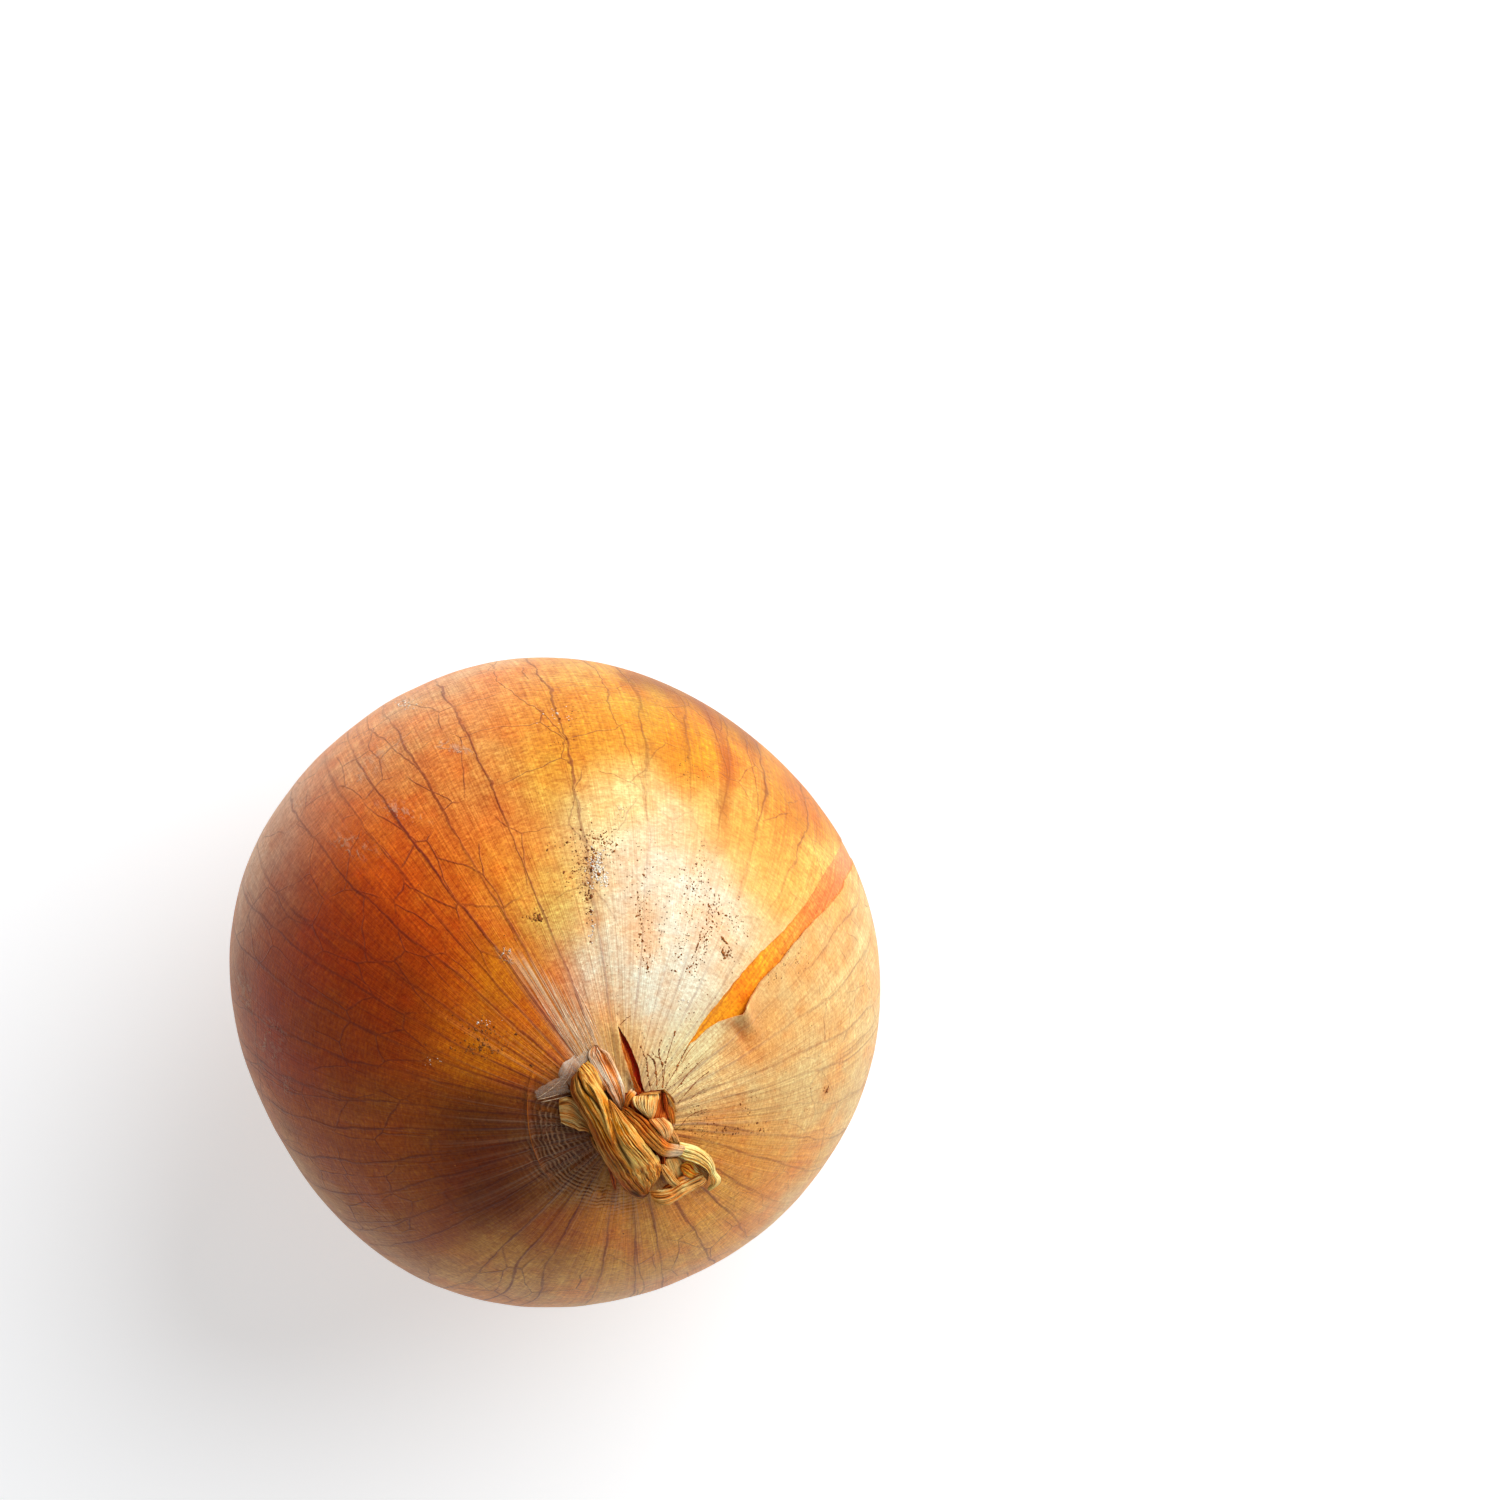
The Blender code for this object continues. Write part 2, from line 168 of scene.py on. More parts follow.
def blob(px, py, x, y, rx, ry=None, turn=0.0):
    """Soft spot in the frame, 1 in its middle."""
    ry = ry or rx
    a = radians(turn)
    u = (px - x) * cos(a) + (py - y) * sin(a)
    v = -(px - x) * sin(a) + (py - y) * cos(a)
    return np.exp(-(u / rx) ** 2 - (v / ry) ** 2)


def line_distance(px, py, points):
    """Distance in frame units to a broken line, and how far along it, 0 to 1."""
    best = np.full(np.shape(px), 1e9)
    along = np.zeros(np.shape(px))
    n = len(points) - 1
    for i, ((x0, y0), (x1, y1)) in enumerate(zip(points, points[1:])):
        dx, dy = x1 - x0, y1 - y0
        t = np.clip(((px - x0) * dx + (py - y0) * dy) / (dx * dx + dy * dy), 0, 1)
        d = np.hypot(px - x0 - t * dx, py - y0 - t * dy)
        near = d < best
        best = np.where(near, d, best)
        along = np.where(near, (i + t) / n, along)
    return best, along


# ------------------------------------------------------------------ veins of the outer skin
VEIN_DOWN = (14, 34, 54, 74, 94)
VEINS = (
    (13.0, 11.9, 8.7, 8.4, 8.0), (24.3, 21.3, 19.7, 18.9, 18.4), (36.0, 32.3, 28.8, 28.0, 27.0),
    (47.1, 40.9, 36.9, 36.0, 36.6), (54.5, 51.1, 46.7, 45.1, 44.6), (63.1, 60.0, 57.2, 56.4, 55.0),
    (70.4, 67.4, 64.2, 62.4, 63.0), (78.8, 77.5, 75.2, 74.0, 72.8), (88.5, 87.6, 85.5, 82.0, 79.0),
    (107.3, 107.0, 103.8, 100.8, 99.6), (115.3, 115.0, 114.3, 112.3, 111.0),
    (124.3, 123.8, 123.4, 120.6, 118.0), (131.4, 130.4, 129.4, 129.1, 127.0),
    (141.0, 140.6, 139.1, 137.6, 136.0), (155.2, 154.8, 153.9, 152.9, 152.8),
    (168.5, 169.0, 169.5, 169.0, 169.5), (177.5, 178.3, 179.2, 179.4, 180.1),
    (184.8, 185.4, 186.8, 187.6, 188.6), (191.2, 192.0, 192.6, 193.2, 193.8),
    (196.8, 198.0, 200.8, 202.0, 202.6), (206.9, 207.9, 209.7, 213.7, 214.0),
    (214.9, 215.9, 217.0, 218.7, 220.6), (222.4, 223.6, 225.0, 226.4, 228.0),
    (228.5, 230.5, 233.8, 236.0, 237.0), (238.0, 239.7, 243.3, 244.7, 246.0),
    (246.2, 248.0, 251.1, 253.1, 254.5), (255.2, 257.0, 260.1, 263.0, 263.5),
    (261.7, 265.3, 269.6, 271.5, 272.0), (271.2, 274.6, 277.7, 279.5, 280.0),
    (281.0, 281.9, 285.0, 287.0, 288.4), (296.5, 297.4, 302.1, 303.6, 303.0),
    (303.6, 304.7, 310.6, 312.0, 311.1), (310.3, 312.3, 317.8, 318.6, 320.0),
    (328.5, 329.5, 330.6, 331.0, 331.4), (339.9, 339.8, 340.2, 340.8, 341.5),
    (349.2, 347.3, 346.9, 347.2, 348.0), (361.0, 359.4, 358.9, 358.0, 357.6),
)


def vein_phase(around, down, dirs):
    """Number of the vein at each point, whole on a vein, and the space between veins in mm."""
    count = len(VEINS)
    table = np.array(VEINS)
    knots = np.array(VEIN_DOWN, float)
    a = np.asarray(around) % 360.0
    a = np.where(a < 12.0, a + 360.0, a)
    d = np.clip(down, knots[0], knots[-1] - 1e-6)
    k = np.clip(np.searchsorted(knots, d, side="right") - 1, 0, len(knots) - 2)
    t = (d - knots[k]) / (knots[k + 1] - knots[k])
    t = t * t * (3 - 2 * t)
    u = np.zeros(np.shape(a))
    gap = np.ones(np.shape(a))
    edges = [table[i, k] * (1 - t) + table[i, k + 1] * t for i in range(count)]
    edges.append(edges[0] + 360.0)
    # below the traced part each vein drifts a little by itself
    for i in range(count + 1):
        edges[i] = edges[i] + 1.6 * (noise3(down / 11.0, (i % count) * 7.7, 0.5, 5) - 0.5) * smooth(80, 110, down)
    for i in range(count):
        lo, hi = edges[i], edges[i + 1]
        inside = (a >= lo) & (a < hi)
        u = np.where(inside, i + (a - lo) / (hi - lo), u)
        gap = np.where(inside, hi - lo, gap)
    below = a < edges[0]
    u = np.where(below, (a - edges[0]) / 8.0 % count, u)
    above = a >= edges[count]
    u = np.where(above, (a - edges[count]) / 10.0, u)
    gap = np.where(below | above, 9.0, gap)
    ring = skin_radius(dirs) * np.sin(np.radians(down))
    return u, gap * pi / 180.0 * ring


# ------------------------------------------------------------------ openings in the outer skin
def frame_angles(points):
    """Degrees around and down of the skin seen at places in the frame."""
    pts = np.array(points, float)
    v = from_frame(pts[:, 0], pts[:, 1], 0.0)
    d = v / np.linalg.norm(v, axis=1, keepdims=True)
    return np.degrees(np.arctan2(d @ SIDE_B, d @ SIDE_A)) % 360, np.degrees(np.arccos(np.clip(d @ AXIS, -1, 1)))


def opening_table(low, high, tail=()):
    """Rows of down, middle, half width for an opening between two edge lines."""
    (a0, d0), (a1, d1) = frame_angles(low), frame_angles(high)
    o0, o1 = np.argsort(d0), np.argsort(d1)
    knots = np.unique(np.concatenate([d0, d1]))
    lo, hi = np.interp(knots, d0[o0], a0[o0]), np.interp(knots, d1[o1], a1[o1])
    rows = [(k, (a + b) / 2, max(0.0, (b - a) / 2)) for k, a, b in zip(knots, lo, hi)]
    return rows + list(tail)


TEAR = opening_table(
    ((682.7, 1056.3), (684.4, 1053.6), (688.2, 1047.1), (691.6, 1043.2), (696.6, 1040.4), (701.7, 1034.9),
     (707.5, 1029.1), (713.9, 1024.2), (720.4, 1020.6), (730, 1017.6), (738.5, 1014.0), (743, 1006), (750, 996),
     (759, 984.5), (769, 973), (781, 961), (793, 945), (806, 929), (819, 916), (832, 903), (844, 886)),
    ((682.2, 1055.9), (685, 1049.7), (688.9, 1042.6), (694.6, 1034.9), (699.1, 1026.6), (706.9, 1015.6),
     (718, 1002), (731, 985), (744, 970), (756, 957), (770, 943), (783, 930), (795, 916), (806, 902), (815, 889),
     (822, 877), (832, 861)),
    ((92, 82.6, 2.2), (97, 81.6, 1.3), (102, 80.6, 0.0)))
SLIT = opening_table(
    ((618.4, 1026.5), (626.8, 1040), (633.6, 1055), (638.9, 1068), (641, 1081), (643.8, 1090), (646.5, 1095)),
    ((617.2, 1026.5), (619.4, 1038), (623, 1055), (627, 1068), (631, 1079), (634, 1088), (637, 1096)))
SLIT = [(0.0, SLIT[0][1] - 8, SLIT[0][2])] + [r for r in SLIT if r[2] > 0.05] + [(SLIT[-1][0] + 0.4, SLIT[-1][1], 0.0)]
COLUMNS, SLIT_COLUMN = 440, 44
ROWS = np.concatenate([np.arange(2.0, 8.6, 0.35), np.arange(8.6, 21.0, 0.16), np.arange(21.0, 40.0, 0.5),
                       np.arange(40.0, 112.0, 1.2), np.arange(112.0, 168.3, 2.3)])


def opening(table, down):
    t = np.array(table)
    return np.interp(down, t[:, 0], t[:, 1]), np.interp(down, t[:, 0], t[:, 2], left=0, right=0)


def shape_offset(around, down, dirs, p):
    """Small relief of the outer skin in mm, with the folds that show near the neck."""
    a = np.radians(around)
    ca, sa = np.cos(a), np.sin(a)
    px, py = to_frame(p)
    seen = smooth(0.0, 0.15, dirs[..., 2])
    off = 0.5 * (fbm(dirs[..., 0] * 2.4 + 5, dirs[..., 1] * 2.4, dirs[..., 2] * 2.4, 3, 3) - 0.5)
    off = off + 0.10 * (fbm(ca * 9, sa * 9, down / 22.0, 11, 2) - 0.5)
    # pleats gathered into the neck
    near = np.exp(-((down / 15.0) ** 2))
    pleat = 1 - np.abs(2 * fbm(ca * 8, sa * 8, down / 30.0, 21, 2) - 1)
    off = off + near * 0.55 * (pleat - 0.75)
    fine = 1 - np.abs(2 * noise3(ca * 21, sa * 21, down / 14.0, 31) - 1)
    off = off + np.exp(-((down / 17.0) ** 2)) * 0.16 * (fine - 0.5)
    # raised fold left of the neck, lower on the neck's side
    fold = ((536, 1066), (531, 1078), (528, 1092), (527.5, 1108), (528.5, 1124), (530.5, 1139),
            (535, 1154), (541, 1167), (549, 1177), (560, 1186))
    d, t = line_distance(px, py, fold)
    inner = smooth(-1.5, 1.5, (px - 528) * 0.8 + (1100 - py) * 0.0 + 0 * t) * (px < 590)
    ends = np.minimum(smooth(0, 0.12, t), 1 - smooth(0.8, 1.0, t))
    off = off + seen * ends * (0.30 * np.exp(-((d / 2.4) ** 2)) - 0.16 * inner * np.exp(-((d / 9.0) ** 2)))
    # second, softer fold inside it
    d, t = line_distance(px, py, ((540, 1100), (541, 1122), (546, 1142), (556, 1160), (570, 1172)))
    off = off + seen * 0.12 * np.exp(-((d / 2.2) ** 2)) * np.minimum(smooth(0, 0.2, t), 1 - smooth(0.8, 1, t))
    # lifted lip on the right of the tear with the dent that runs away from it
    tear, half = opening(TEAR, down)
    side = (around - tear + 180) % 360 - 180
    lip = np.exp(-((side + half) / 5.0) ** 2) * (side < 0.01)
    off = off + lip * 0.80 * np.exp(-(((down - 28.5) / 3.6) ** 2))
    lip = np.exp(-((side + half) / 2.2) ** 2) * (side < 0.01)
    off = off + lip * 0.16 * smooth(34, 40, down) * (1 - smooth(48, 66, down)) * (0.4 + noise3(down / 2.4, 0.3, 0.7, 8))
    lip = np.exp(-((side - half) / 2.0) ** 2) * (side > -0.01)
    off = off + lip * 0.16 * (0.4 + noise3(down / 1.9, 3.3, 0.7, 9)) * smooth(18, 30, down) * (1 - smooth(48, 66, down))
    d, t = line_distance(px, py, ((731, 1016), (739, 1030), (749, 1047), (763, 1070)))
    off = off - 0.26 * np.exp(-((d / 5.5) ** 2)) * (1 - smooth(0.35, 1.0, t)) * seen
    d, t = line_distance(px, py, ((741, 1011), (752, 1026), (766, 1046)))
    off = off + 0.30 * np.exp(-((d / 5.5) ** 2)) * (1 - smooth(0.3, 1.0, t)) * seen
    # the slit's left lip stands up over the right one
    cut, half = opening(SLIT, down)
    side = (around - cut + 180) % 360 - 180
    window = smooth(3.0, 8.0, down) * (1 - smooth(15.0, 19.0, down))
    off = off + window * 0.50 * np.exp(-((side - half) / 5.5) ** 2) * (side > -0.01)
    off = off - window * 0.10 * np.exp(-((side + half) / 6.0) ** 2) * (side < 0.01)
    # wrinkles squeezed up across the skin's fibres, left of and below the neck
    zone = np.clip(blob(px, py, 566, 1152, 30, 34, 0) + blob(px, py, 600, 1196, 34, 14, 20)
                   + 0.8 * blob(px, py, 548, 1118, 14, 26), 0, 1) * (px < 655) * seen
    phase = down * 7.0 + 12.0 * fbm(ca * 3, sa * 3, down / 6.0, 37, 2)
    gate = smooth(0.30, 0.55, noise3(ca * 9, sa * 9, down / 3.0, 38))
    off = off + zone * gate * 0.10 * np.sin(phase)
    # slack creases low on the left and along the lower right
    for line, wide, high in (
            (((356, 1158), (372, 1186), (392, 1216), (412, 1246)), 3.2, 0.10),
            (((327, 1166), (345, 1200), (366, 1230)), 4.0, 0.08),
            (((640, 1279), (692, 1264), (740, 1240), (776, 1216), (800, 1196)), 4.5, 0.10),
            (((304, 826), (330, 838), (352, 846)), 3.0, 0.06)):
        d, t = line_distance(px, py, line)
        off = off + seen * high * np.exp(-((d / wide) ** 2)) * np.minimum(smooth(0, 0.2, t), 1 - smooth(0.75, 1, t))
    return off


# ------------------------------------------------------------------ meshes
def make_object(name, verts, faces, smooth_faces=True):
    mesh = bpy.data.meshes.new(name)
    mesh.from_pydata((np.asarray(verts) * MM).tolist(), [], faces)
    mesh.validate()
    mesh.update()
    if smooth_faces:
        mesh.polygons.foreach_set("use_smooth", np.ones(len(mesh.polygons), dtype=bool))
    ob = bpy.data.objects.new(name, mesh)
    bpy.context.scene.collection.objects.link(ob)
    return ob


def put_colour(ob, name, values):
    """Per-vertex colour or vector from an n x 3 array."""
    att = ob.data.attributes.new(name, "FLOAT_COLOR", "POINT")
    full = np.ones((len(values), 4))
    full[:, :3] = values
    att.data.foreach_set("color", full.ravel())


def put_vector(ob, name, values):
    att = ob.data.attributes.new(name, "FLOAT_VECTOR", "POINT")
    att.data.foreach_set("vector", np.asarray(values, float).ravel())


def put_float(ob, name, values):
    att = ob.data.attributes.new(name, "FLOAT", "POINT")
    att.data.foreach_set("value", np.asarray(values, float).ravel())


def put_phase_uv(ob, u, v, wrap):
    """UV map whose u is the vein number, joined face by face across the place where it restarts."""
    mesh = ob.data
    layer = mesh.uv_layers.new(name="veins")
    loops = np.zeros(len(mesh.loops), dtype=np.int64)
    mesh.loops.foreach_get("vertex_index", loops)
    starts = np.zeros(len(mesh.polygons), dtype=np.int64)
    totals = np.zeros(len(mesh.polygons), dtype=np.int64)
    mesh.polygons.foreach_get("loop_start", starts)
    mesh.polygons.foreach_get("loop_total", totals)
    uu = u[loops].copy()
    high = np.maximum.reduceat(uu, starts)
    per_loop = np.repeat(high, totals)
    uu = np.where(per_loop - uu > wrap / 2, uu + wrap, uu)
    uv = np.stack([uu, v[loops]], -1)
    layer.data.foreach_set("uv", uv.ravel())


def upper_left(px, py, dirs):
    """How much a place lies on the shoulder that turns away at the upper left."""
    return (1 - smooth(0.12, 0.75, dirs[..., 2])) * smooth(-110, 170, 560 - px) * smooth(-40, 80, 940 - py)


def tone_at(px, py, dirs, around, down):
    """Colour of the bare skin before veins and fibres: soft zones seen on the onion, among them painted highlight,
    painted shade and painted rim reflection.
    """
    zones = (
        (425, 850, 80, (0.80, 0.13, 0.006)),   # orange cheek
        (455, 745, 78, (0.74, 0.29, 0.070)),
        (350, 960, 88, (0.37, 0.050, 0.002)),  # red-brown left side
        (505, 1005, 56, (0.74, 0.18, 0.003)),
        (500, 880, 34, (0.86, 0.28, 0.028)),
        (575, 735, 62, (0.68, 0.32, 0.026)),   # golden shoulder
        (706, 752, 36, (0.70, 0.26, 0.004)),
        (735, 820, 40, (0.78, 0.44, 0.10)),
        (800, 798, 38, (0.58, 0.20, 0.002)),
        (788, 874, 34, (0.80, 0.46, 0.12)),
        (612, 802, 34, (0.84, 0.61, 0.28)),
        (655, 890, 58, (0.84, 0.69, 0.55)),    # dry cream crown, partly a painted highlight, as is the next zone
        (658, 966, 58, (0.88, 0.75, 0.61)),
        (618, 1035, 26, (0.96, 0.46, 0.12)),
        (700, 1066, 40, (0.95, 0.72, 0.38)),
        # painted shade in the dent that runs from the tear's lifted lip
        (744, 1044, 20, (0.72, 0.235, 0.018)),
        (567, 895, 42, (0.76, 0.40, 0.070)),
        (812, 1035, 84, (0.76, 0.47, 0.20)),   # pale amber right side
        (715, 1185, 74, (0.82, 0.33, 0.055)),
        (630, 1262, 56, (0.72, 0.29, 0.050)),  # brown foot
        (500, 1288, 40, (0.62, 0.24, 0.050)),
        # dark brown left of and below the neck: the skin's own brown, partly painted shadow of the neck
        (545, 1150, 46, (0.24, 0.072, 0.012)),
        (795, 1228, 36, (0.82, 0.52, 0.28)),
        # the darkest of it, partly painted shadow of the neck
        (486, 1156, 50, (0.15, 0.026, 0.001)),
        (558, 1238, 28, (0.42, 0.13, 0.018)),
        (375, 1170, 70, (0.38, 0.095, 0.010)),
    )
    total = np.zeros(px.shape + (3,))
    weight = np.zeros(px.shape)
    for x, y, r, c in zones:
        w = np.exp(-(((px - x) ** 2 + (py - y) ** 2) / (r * r)) * 1.1) + 1e-9
        total += w[..., None] * np.array(c)
        weight += w
    seen = total / weight[..., None]
    # painted reflection: a paler band where the skin turns away on the left and below, standing in for the bright
    # surroundings seen at a grazing angle
    turned = (1 - smooth(0.10, 0.55, dirs[..., 2])) * smooth(0, 260, (620 - px) + 0.9 * (py - 980))
    turned = turned * (0.35 + 0.65 * fbm(dirs[..., 0] * 9, dirs[..., 1] * 9, dirs[..., 2] * 9, 43, 3))
    seen = seen * (1 - 0.55 * turned[..., None]) + 0.55 * turned[..., None] * np.array([0.74, 0.44, 0.24])
    # paler again round the upper left shoulder, and a thin brown rim at the upper right
    shoulder = upper_left(px, py, dirs)
    shoulder = shoulder * (0.75 + 0.5 * (fbm(dirs[..., 0] * 9, dirs[..., 1] * 9, dirs[..., 2] * 9, 45, 3) - 0.5))
    seen = seen * (1 - 0.71 * shoulder[..., None]) + 0.71 * shoulder[..., None] * np.array([0.97, 0.57, 0.385])
    rim, _ = line_distance(px, py, ((628, 676), (662, 684), (702, 703), (732, 724), (754, 744)))
    rim = 0.74 * np.exp(-((rim / 11.0) ** 2))[..., None]
    seen = seen * (1 - rim) + rim * np.array([0.30, 0.060, 0.0004])
    # the hidden side: the same golden, orange and tan skins in broad meridian bands
    a = np.radians(around)
    n = fbm(np.cos(a) * 1.6 + 3, np.sin(a) * 1.6, down / 70.0, 41, 3)
    warm = smooth(0.35, 0.65, n)[..., None]
    hidden = (1 - warm) * np.array([0.70, 0.36, 0.10]) + warm * np.array([0.56, 0.19, 0.038])
    fade = smooth(-0.35, 0.12, dirs[..., 2])[..., None]
    out = seen * fade + hidden * (1 - fade)
    # paler, browner skin where it gathers at the roots
    low = smooth(140, 168, down)[..., None]
    return out * (1 - low) + low * np.array([0.50, 0.27, 0.10])


def build_outer_skin():
    left, right = np.zeros((len(ROWS), COLUMNS), int), np.zeros((len(ROWS), COLUMNS), int)
    around, down, fixed = [], [], []
    tear_mid, tear_half = opening(TEAR, ROWS)
    slit_mid, slit_half = opening(SLIT, ROWS)
    tear_mid = tear_mid - 6.0 * np.maximum(0.0, 14.5 - ROWS)
    jag = lambda seed, amount: amount * (2 * fbm(ROWS / 1.3, 0.5, 0.5, seed, 3) - 1)
    tear_jags = (jag(51, 0.42), jag(52, 0.42))
    slit_jags = (jag(53, 0.7), jag(54, 0.7))
    for j, dn in enumerate(ROWS):
        i = np.arange(COLUMNS)
        first = tear_mid[j] + (slit_mid[j] - tear_mid[j]) * i / SLIT_COLUMN
        t = (i - SLIT_COLUMN) / (COLUMNS - SLIT_COLUMN)
        rest = slit_mid[j] + (tear_mid[j] + 360 - slit_mid[j]) * t
        row = np.where(i <= SLIT_COLUMN, first, rest)
        for i in range(COLUMNS):
            w = 0.0
            if i == 0 and tear_half[j] > 0.02:
                w, jags = tear_half[j], tear_jags
            if i == SLIT_COLUMN and slit_half[j] > 0.02:
                w, jags = slit_half[j], slit_jags
            if w > 0:
                soft = min(1.0, w / 1.5)
                left[j, i] = len(around)
                around.append(row[i] - w + jags[0][j] * soft)
                right[j, i] = len(around)
                around.append(row[i] + w + jags[1][j] * soft)
                down += [dn, dn]
                fixed += [i + 1, i + 1]
            else:
                left[j, i] = right[j, i] = len(around)
                around.append(row[i])
                down.append(dn)
                fixed.append(0)
    around, down, fixed = np.array(around), np.array(down), np.array(fixed)
    # spread the columns next to each opening so that none is crushed against its edge
    push = np.zeros(len(around))
    for mid_t, mark, reach in ((TEAR, 1, 20.0), (SLIT, SLIT_COLUMN + 1, 20.0)):
        mid, half = opening(mid_t, down)
        side = (around - mid + 180) % 360 - 180
        push = push + np.where(fixed == mark, 0, half * (half > 0.02) * np.exp(-(side / reach) ** 2) * np.sign(side))
    around = around + np.where(fixed > 0, 0, push)
    # ragged lower edge round the roots
    rag = smooth(160, 168, down) * 1.6 * (fbm(np.cos(np.radians(around)) * 14, np.sin(np.radians(around)) * 14, 0.5, 61, 3) - 0.5)
    down = down + rag
    dirs = direction(around, down)
    base = CENTRE + dirs * skin_radius(dirs)[:, None]
    off = shape_offset(around, down, dirs, base)
    verts = settle(base + dirs * off[:, None], 0.0)
    px, py = to_frame(verts)

    faces, border = [], {}
    for j in range(len(ROWS) - 1):
        for i in range(COLUMNS):
            n = (i + 1) % COLUMNS
            ring = [right[j, i], right[j + 1, i], left[j + 1, n], left[j, n]]
            ring = [v for k, v in enumerate(ring) if v != ring[k - 1]]
            faces.append(ring)
            near_edge = i in (0, COLUMNS - 1, SLIT_COLUMN, SLIT_COLUMN - 1) or j in (0, len(ROWS) - 2)
            if near_edge:
                for k, v in enumerate(ring):
                    w = ring[(k + 1) % len(ring)]
                    if (w, v) in border:
                        del border[(w, v)]
                    else:
                        border[(v, w)] = (j, i)
    # keep only true borders: edges whose other face was not visited are inside the sheet
    inner_edges = set()
    for j in range(len(ROWS) - 1):
        for i in (1, COLUMNS - 2, SLIT_COLUMN + 1, SLIT_COLUMN - 2):
            n = (i + 1) % COLUMNS
            ring = [right[j, i], right[j + 1, i], left[j + 1, n], left[j, n]]
            for k, v in enumerate(ring):
                inner_edges.add((v, ring[(k + 1) % 4]))
    for j in (1, len(ROWS) - 3):
        for i in range(COLUMNS):
            n = (i + 1) % COLUMNS
            ring = [right[j, i], right[j + 1, i], left[j + 1, n], left[j, n]]
            for k, v in enumerate(ring):
                inner_edges.add((v, ring[(k + 1) % 4]))
    rim = [(a, b) for (a, b) in border if (b, a) not in inner_edges]
    inside_of = {}
    verts = list(map(tuple, verts))
    src = list(range(len(verts)))
    for a, b in rim:
        for v in (a, b):
            if v not in inside_of:
                inside_of[v] = len(verts)
                q = np.array(verts[v]) - dirs[v] * 0.22
                verts.append(tuple(q if q[2] > 0.02 else (q[0], q[1], 0.02)))
                src.append(v)
    for a, b in rim:
        faces.append([b, a, inside_of[a], inside_of[b]])
    ob = make_object("onion_outer_skin", verts, faces)
    crisp = {(min(a, b), max(a, b)) for a, b in rim}
    for e in ob.data.edges:
        v = tuple(e.vertices)
        if (min(v), max(v)) in crisp:
            e.use_edge_sharp = True
    src = np.array(src)
    a = np.radians(around)
    put_vector(ob, "cyl", np.stack([np.cos(a), np.sin(a), np.radians(down)], -1)[src])
    tone = tone_at(px, py, dirs, around, down)
    edge = np.zeros(len(src))
    edge[len(around):] = 1.0
    tone = tone[src]
    tone = tone * (1 - 0.5 * edge[:, None]) + 0.5 * edge[:, None] * np.array([0.95, 0.80, 0.55])
    put_colour(ob, "tone", tone)
    seen = smooth(-0.05, 0.2, dirs[:, 2])
    # specks of soil
    soil = np.full(px.shape, 0.012)
    for x, y, rx, ry, turn, k in (
            (590, 862, 24, 30, 80, 0.85), (604, 842, 14, 14, 0, 0.65), (588, 905, 10, 24, 0, 0.50),
            (568, 880, 20, 20, 0, 0.30), (662, 925, 8, 40, 8, 0.35), (640, 925, 7, 34, 0, 0.30),
            (702, 868, 22, 26, 0, 0.35), (722, 905, 16, 24, 0, 0.45), (726, 955, 8, 10, 0, 0.6),
            (700, 960, 8, 28, 25, 0.4), (735, 925, 22, 8, 40, 0.4), (537, 917, 12, 8, 0, 0.7),
            (478, 1038, 26, 16, 20, 0.50), (486, 1052, 12, 8, 0, 0.6), (465, 1020, 20, 12, 0, 0.3),
            (664, 1062, 26, 26, 0, 0.35), (706, 1120, 26, 12, 20, 0.30), (745, 1106, 12, 6, -50, 0.25),
            (735, 950, 22, 26, 0, 0.25), (563, 720, 26, 14, 0, 0.16), (690, 770, 34, 20, 30, 0.16),
            (775, 965, 30, 20, 0, 0.25), (531, 1096, 14, 14, 0, 0.4), (760, 1128, 14, 8, 0, 0.3),
            (420, 1040, 60, 40, 0, 0.06), (640, 880, 70, 70, 0, 0.09)):
        soil = np.maximum(soil, k * blob(px, py, x, y, rx, ry, turn) * seen)
    # whitish fibres that fan into the neck, scuffs, strength of the veins
    fan = np.zeros(px.shape)
    for line, wide, k in ((((506, 946), (540, 985), (572, 1022), (588, 1058)), 16, 0.95),
                          (((530, 962), (560, 1000), (584, 1034), (596, 1054)), 17, 0.75),
                          (((560, 985), (585, 1025), (600, 1055)), 10, 0.7),
                          (((600, 900), (612, 960), (618, 1010)), 16, 0.30),
                          (((552, 1010), (575, 1040), (590, 1060)), 12, 0.9)):
        d, t = line_distance(px, py, line)
        fan = np.maximum(fan, k * np.exp(-((d / (wide * (0.35 + 0.65 * t))) ** 2)) * smooth(0.0, 0.25, t))
    fan = fan * seen
    scuff = np.full(px.shape, 0.03)
    for x, y, rx, ry, turn, k in (
            (398, 812, 26, 10, 15, 0.9), (375, 760, 40, 12, -45, 0.75), (455, 748, 22, 7, 10, 0.9),
            (352, 846, 34, 14, 20, 0.55), (244, 990, 9, 26, -20, 0.9), (270, 1045, 22, 34, 0, 0.55),
            (300, 800, 14, 12, 0, 0.6), (470, 985, 10, 8, 0, 0.2), (505, 955, 12, 6, 45, 1.0),
            (590, 880, 16, 16, 0, 0.6), (622, 815, 10, 14, 0, 0.7), (285, 1090, 14, 24, 10, 0.4),
            (800, 960, 14, 10, 0, 0.5), (405, 700, 22, 8, -20, 0.6), (430, 1070, 26, 14, 0, 0.22),
            (862, 1135, 6, 20, 20, 0.7), (598, 1283, 10, 8, 0, 0.6), (560, 850, 20, 20, 0, 0.2)):
        scuff = np.maximum(scuff, k * blob(px, py, x, y, rx, ry, turn) * seen)
